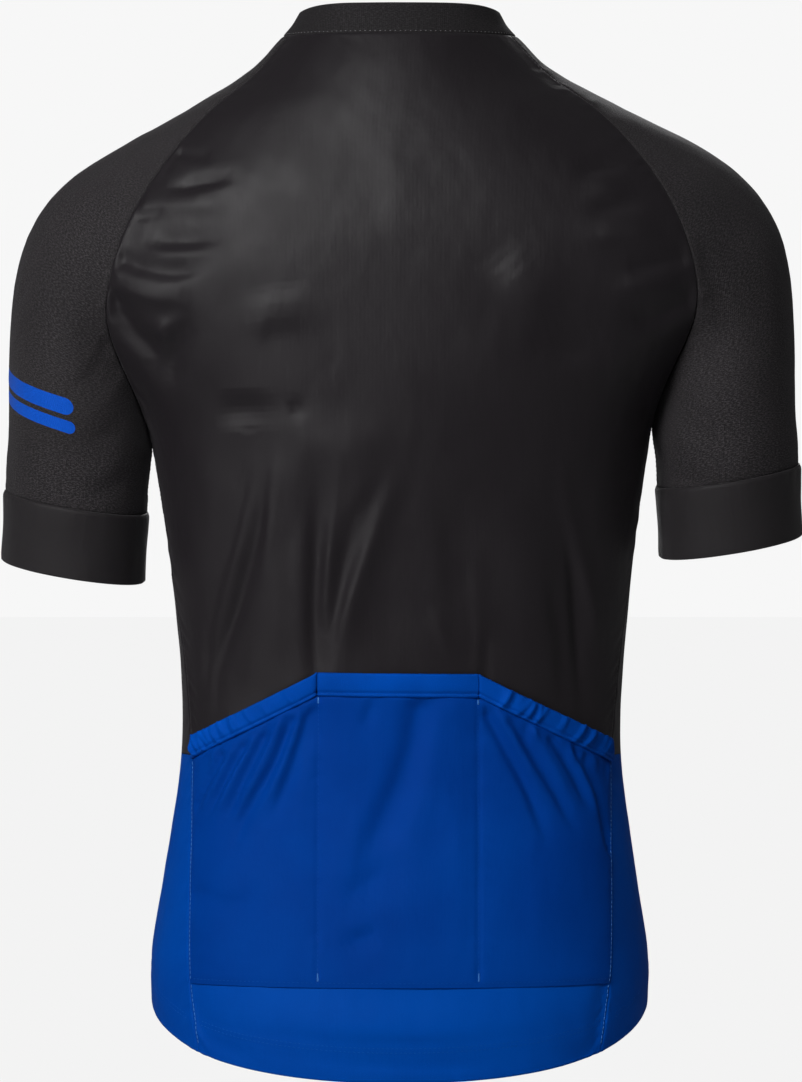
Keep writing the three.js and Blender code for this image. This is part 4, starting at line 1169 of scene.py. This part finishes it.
def opening_places():
    """Where the zip runs: its middle line from the collar's top to the hem, and the way out."""
    collar = wall_grid("collar")
    left = wall_grid("front_left")
    right = wall_grid("front_right")

    def inner_edge(grid):
        return grid[:, 0] if zip_side(grid) == "start" else grid[:, -1]

    upper = (collar[:, 0] + collar[:, -1]) / 2
    lower = (inner_edge(left) + inner_edge(right)) / 2
    line = np.concatenate([upper[:-1], lower])
    knots = np.concatenate([[0], np.cumsum(np.linalg.norm(np.diff(line, axis=0), axis=1))])
    at = np.arange(0, knots[-1], 3.0)
    middle = spline(line, knots, at)
    run = unit(np.gradient(middle, axis=0))
    out = unit(np.stack([np.zeros(len(run)), run[:, 2], -run[:, 1]], axis=-1))
    return middle, run, out


def make_tape(side, middle, out, material):
    """A woven tape on one side of the zip, behind the front's edge."""
    half = middle + np.array([side * 0.25, 0, 0]) - out * TAPE_BEHIND
    across = np.array([0, 1.6, 3.2, 4.8, 6.4, 8.2, TAPE_HALF])
    curve = 0.018 * across**2
    grid = half[:, None] + across[None, :, None] * np.array([side, 0, 0])
    grid = grid - curve[None, :, None] * out[:, None]
    if np.dot(normals_of(grid)[5, 3], out[5]) < 0:
        grid = grid[:, ::-1]
    name = "zip_left" if side > 0 else "zip_right"
    obj = shell("cloth_" + name, grid, 0.7, material)
    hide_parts(name)
    return obj


def tooth_shape():
    """One tooth, reaching from its tape over the middle: points across, along and out."""
    long = TOOTH["long"] / 2
    thick = TOOTH["thick"]
    reach = TOOTH["reach"]
    outline = [(0.0, 0.75), (1.5, 0.75), (1.75, 0.5), (reach - 0.1, 0.62), (reach + 0.35, 0.35)]
    lower = [(x, -wide * long / 0.75, 0.0) for x, wide in outline]
    upper = [(x, wide * long / 0.75, 0.0) for x, wide in reversed(outline)]
    ring = lower + upper
    count = len(ring)
    points = [(x, y, 0.0) for x, y, _ in ring]
    points += [(x, y, thick * 0.8) for x, y, _ in ring]
    centre = np.array(ring).mean(axis=0)
    points += [(centre[0] + (x - centre[0]) * 0.8, y * 0.72, thick) for x, y, _ in ring]
    faces = [tuple(range(count))[::-1], tuple(range(2 * count, 3 * count))]
    for level in range(2):
        for k in range(count):
            after = (k + 1) % count
            low, high = level * count, (level + 1) * count
            faces.append((low + k, low + after, high + after, high + k))
    return np.array(points), faces


def make_teeth(middle, run, out, material):
    points, shape_faces = tooth_shape()
    knots = np.concatenate([[0], np.cumsum(np.linalg.norm(np.diff(middle, axis=0), axis=1))])
    at = np.arange(2.0, knots[-1] - 6.0, TOOTH["pitch"] / 2)
    spots = spline(middle, knots, at)
    ways = unit(spline(out, knots, at))
    runs = unit(spline(run, knots, at))
    vertices = []
    faces = []
    count = 0
    for k, (p, t, o) in enumerate(zip(spots, runs, ways)):
        side = 1 if k % 2 else -1
        across = np.array([side, 0, 0])
        base = p + across * (TOOTH["reach"] - 0.1) - o * (TAPE_BEHIND - 0.1)
        vertices.append(base - points[:, :1] * across + points[:, 1:2] * t + points[:, 2:] * o)
        turned = [f if side > 0 else f[::-1] for f in shape_faces]
        faces += [tuple(v + count for v in f) for f in turned]
        count += len(points)
    obj = new_object("zip_teeth", np.concatenate(vertices), faces, material)
    obj.data.polygons.foreach_set("use_smooth", np.zeros(len(obj.data.polygons), bool))
    return obj


def bevelled(name, body, width, material):
    """A metal piece of the zip with rounded edges, in its node's place."""
    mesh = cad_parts[name].data.copy()
    mesh.name = "detail_" + name
    mesh.materials.clear()
    mesh.materials.append(material)
    work = bmesh.new()
    work.from_mesh(mesh)
    bmesh.ops.remove_doubles(work, verts=work.verts, dist=2e-5)
    bmesh.ops.dissolve_limit(work, angle_limit=0.02, verts=work.verts, edges=work.edges)
    sharp = [e for e in work.edges if e.calc_face_angle(0) > 0.5]
    bmesh.ops.bevel(
        work,
        geom=sharp,
        offset=width * MM,
        segments=3,
        profile=0.6,
        affect="EDGES",
        clamp_overlap=True,
    )
    work.to_mesh(mesh)
    work.free()
    mesh.polygons.foreach_set("use_smooth", np.ones(len(mesh.polygons), bool))
    obj = bpy.data.objects.new("detail_" + name, mesh)
    bpy.context.scene.collection.objects.link(obj)
    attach(obj, body)
    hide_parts(name)
    return obj


def sew():
    """The rows of stitching. Returns the stitch pieces by the name of the cloth they are on."""
    sewn = {}

    def row(cloth, name, lines, thread, slot, *sizes, turn=0.0):
        piece = stitches(name, lines, threads[thread], slot, *sizes, turn=turn)
        sewn.setdefault(cloth, []).append(piece)

    collar = [inset_line(grids["collar"], "bottom", 1.3, (2, 2))]
    row("collar", "stitches_collar", collar, "collar", "heather_knit", 1.2, 2.1, 0.24)
    for side in ("left", "right"):
        sleeve = grids["sleeve_" + side]
        seams = [inset_line(sleeve, edge, 1.5, (2, 2)) for edge in ("start", "end", "bottom")]
        row("sleeve_" + side, "stitches_sleeve_" + side, seams, "black", "heather_knit")
        front = grids["front_" + side]
        zip_edge = zip_side(front)
        beside_zip = inset_line(front, zip_edge, 6.0, (2, 12))
        above = between(beside_zip, PRINT_BREAK, 0)
        below = [between(beside_zip, -700, PRINT_BREAK)]
        below += [inset_line(front, "bottom", h, (3, 3)) for h in HEM_ROWS]
        row("front_" + side, "stitches_front_" + side, [above], "black", "black_knit")
        row("front_" + side, "stitches_front_low_" + side, below, "blue", "blue_knit")
        band = grids["pocket_band_" + side]
        line = inset_line(band, "bottom", 2.2, (1, 1))
        row("pocket_band_" + side, "stitches_band_" + side, [line], "blue", "blue_knit")

    back = grids["back"]
    side_seams = [inset_line(back, edge, 1.5, (2, 2)) for edge in ("start", "end")]
    above = [between(line, PRINT_BREAK, 0) for line in side_seams]
    below = [between(line, -800, PRINT_BREAK) for line in side_seams]
    hem = [inset_line(back, "bottom", h, (3, 3)) for h in HEM_ROWS]
    row("back", "stitches_back", above, "black", "black_knit")
    row("back", "stitches_back_low", below, "pale", "blue_knit", 2.7, 0.3, 0.22)
    row("back", "stitches_back_hem", hem, "blue", "blue_knit")

    center = grids["pocket_band_center"]
    line = inset_line(center, "bottom", 2.2, (1, 1))
    row("pocket_band_center", "stitches_band_center", [line], "blue", "blue_knit")
    pocket = grids["pocket"]
    lines = [line_at_x(pocket, x, 3) for x in DIVISIONS]
    lines.append(inset_line(pocket, "bottom", 3.0, (2, 2)))
    row("pocket", "stitches_pocket", lines, "blue", "blue_knit")
    sides = [inset_line(pocket, edge, 1.0, (3, 1)) for edge in ("start", "end")]
    row("pocket", "stitches_pocket_sides", sides, "pale", "blue_knit", 2.7, 0.3, 0.2)
    tacks = [tack(pocket, x, 0, 5.5, 3.2) for x in DIVISIONS]
    tacks += [tack(pocket, x, 0.5, 4.0) for x in DIVISIONS]
    row("pocket", "tacks_pocket", tacks, "pale", "blue_knit", 1.7, -1.3, 0.2, turn=1.35)
    return sewn


# Light, floor and camera


def add_light(name, place, target, size, power, spread):
    """A rectangular area light. spread is the angle of its beam in degrees."""
    data = bpy.data.lights.new(name, "AREA")
    data.shape = "RECTANGLE"
    data.size = size[0]
    data.size_y = size[1]
    data.energy = power
    data.spread = math.radians(spread)
    light = bpy.data.objects.new(name, data)
    bpy.context.scene.collection.objects.link(light)
    light.location = place
    way = np.array(target, float) - np.array(place, float)
    light.rotation_euler = type(light.location)(way).to_track_quat("-Z", "Y").to_euler()
    return light


def make_floor():
    """A wide pale floor. It glows a little, so that it runs into the pale world behind it."""
    n = Nodes("floor_paper")
    grain = n.noise(n.position(), 40.0, 4.0)
    n.put(n.shader.inputs["Base Color"], n.mix(grain, (0.86, 0.86, 0.86), (0.9, 0.9, 0.9)))
    n.shader.inputs["Roughness"].default_value = 0.9
    glow = n.add("ShaderNodeEmission")
    glow.inputs["Strength"].default_value = WORLD_SEEN
    path = n.add("ShaderNodeLightPath")
    pick = n.add("ShaderNodeMixShader")
    n.join(n.math("MULTIPLY", path.outputs["Is Camera Ray"], 0.96), pick.inputs["Fac"])
    n.join(n.shader.outputs[0], pick.inputs[1])
    n.join(glow.outputs[0], pick.inputs[2])
    n.join(pick.outputs[0], n.tree.nodes["Material Output"].inputs["Surface"])
    steps = 96
    turns = [2 * math.pi * k / steps for k in range(steps)]
    ring = [(FLOOR_RADIUS * math.cos(a), FLOOR_RADIUS * math.sin(a), FLOOR * MM) for a in turns]
    mesh = bpy.data.meshes.new("floor")
    mesh.from_pydata(ring, [], [tuple(range(steps))])
    mesh.materials.append(n.material)
    floor = bpy.data.objects.new("floor", mesh)
    bpy.context.scene.collection.objects.link(floor)


def make_studio():
    make_floor()
    world = bpy.data.worlds.new("studio")
    world.use_nodes = True
    tree = world.node_tree
    lit = tree.nodes["Background"]
    lit.inputs["Color"].default_value = (1, 1, 1, 1)
    lit.inputs["Strength"].default_value = WORLD_LIGHT
    seen = tree.nodes.new("ShaderNodeBackground")
    seen.inputs["Color"].default_value = (1, 1, 1, 1)
    seen.inputs["Strength"].default_value = WORLD_SEEN
    path = tree.nodes.new("ShaderNodeLightPath")
    pick = tree.nodes.new("ShaderNodeMixShader")
    tree.links.new(path.outputs["Is Camera Ray"], pick.inputs["Fac"])
    tree.links.new(lit.outputs[0], pick.inputs[1])
    tree.links.new(seen.outputs[0], pick.inputs[2])
    tree.links.new(pick.outputs[0], tree.nodes["World Output"].inputs["Surface"])
    bpy.context.scene.world = world
    upper = (0.08, 0, -0.22)
    middle = (0, 0, -0.33)
    low = (0, 0.05, -0.34)
    tail = (0, 0.05, -0.64)
    add_light("key", (1.25, 2.0, 1.1), upper, (0.7, 0.7), 6.9, 84)
    add_light("rake", (1.6, 1.9, -0.2), low, (0.7, 0.7), 1.1, 44)
    add_light("fill", (-2.3, 2.6, 0.1), middle, (1.5, 1.8), 2.0, 180)
    add_light("tail", (0.2, 1.3, 0.8), tail, (0.35, 0.35), 0.6, 44)
    add_light("top", (0.0, 0.2, 2.6), middle, (2.4, 1.2), 4.2, 180)
    add_light("front_key", (-0.4, -3.1, 1.6), middle, (0.9, 0.9), 26, 150)
    add_light("front_fill", (0.2, -3.6, -0.1), middle, (1.4, 1.4), 7, 150)
    bpy.context.scene.view_settings.view_transform = "Standard"


def make_camera():
    data = bpy.data.cameras.new("camera")
    data.sensor_width = SENSOR
    data.sensor_fit = "AUTO"
    data.lens = SENSOR * DISTANCE / (PHOTO_HEIGHT * PIXEL)
    data.clip_end = 60
    camera = bpy.data.objects.new("camera", data)
    bpy.context.scene.collection.objects.link(camera)
    camera.location = (VIEW_MIDDLE[0] * MM, DISTANCE * MM, VIEW_MIDDLE[1] * MM)
    camera.rotation_euler = (math.pi / 2, 0, math.pi)
    bpy.context.scene.camera = camera


def bar_places(name):
    """The sleeve bars' ends, as distance round the sleeve and height, in metres."""
    grid = finer(close_gaps(wall_grid(name), ("start", "end", "top", "bottom")), GRID)
    normals = normals_of(grid)
    cloth = cloth_coordinates(grid)
    place = np.stack([cloth[..., 0], grid[..., 2]], axis=-1)
    near, far = (place[on_cloth(grid, normals, x, z, SEEN_FROM_BEHIND)] for x, z in BAR_WAY)
    run = unit(far - near)
    found = []
    for bar in BARS:
        start = place[on_cloth(grid, normals, *bar["inner"], SEEN_FROM_BEHIND)]
        end = start + run * BAR_LENGTH
        found.append((tuple(start * MM), tuple(end * MM), bar["half"] * MM))
    return found


make_camera()
make_studio()

body = body_material("body_knit", 0.05, (0.9, 0.86, 0.92), 0.24)
printed = body_material("body_knit_printed", 0.01, (0.2, 0.5, 1.0), 0.02)
blue = blue_material("blue_knit", BLUE, BLUE_DEEP)
# The bands take a lighter copy of the pocket's blue, as painted light from above.
band_blue_lit = blue_material("blue_band_lit", BAND_BLUE_LIT, BLUE)
heather = heather_material("heather_knit", HEATHER_LIGHT)
barred = heather_material("heather_knit_barred", HEATHER_LIGHT, bar_places("sleeve_left"))
collar = heather_material("collar_knit", COLLAR_LIGHT)
cuff = cuff_material()
tape = tape_material()
teeth = teeth_material()
metal = metal_material()
threads = {
    "collar": thread_material("collar_thread", COLLAR_THREAD),
    "black": thread_material("black_thread", BLACK_THREAD),
    "blue": thread_material("blue_thread", BLUE_THREAD),
    "pale": thread_material("pale_blue_thread", PALE_THREAD),
}

cloths = {
    "back": make_back(body),
    "front_left": make_front("front_left", True, body),
    "front_right": make_front("front_right", False, body),
    "sleeve_left": make_sleeve("sleeve_left", True, barred),
    "sleeve_right": make_sleeve("sleeve_right", False, heather),
    "cuff_left": make_cuff("cuff_left", True, cuff),
    "cuff_right": make_cuff("cuff_right", False, cuff),
    "collar": make_collar(collar),
    "pocket": make_pocket(blue),
    "pocket_band_left": make_band("pocket_band_left", "end", band_blue_lit),
    "pocket_band_center": make_band("pocket_band_center", None, band_blue_lit),
    "pocket_band_right": make_band("pocket_band_right", "start", band_blue_lit),
}

middle, run, out = opening_places()
cloths["zip_left"] = make_tape(1, middle, out, tape)
cloths["zip_right"] = make_tape(-1, middle, out, tape)
make_teeth(middle, run, out, teeth)
bevelled("zip_slider", BODY, 0.22, metal)
bevelled("zip_box", BODY, 0.3, teeth)
bevelled("zip_pull", "pull", 0.2, metal)

for name in ("back", "front_left", "front_right"):
    print_lower(cloths[name], printed)

sewn = sew()
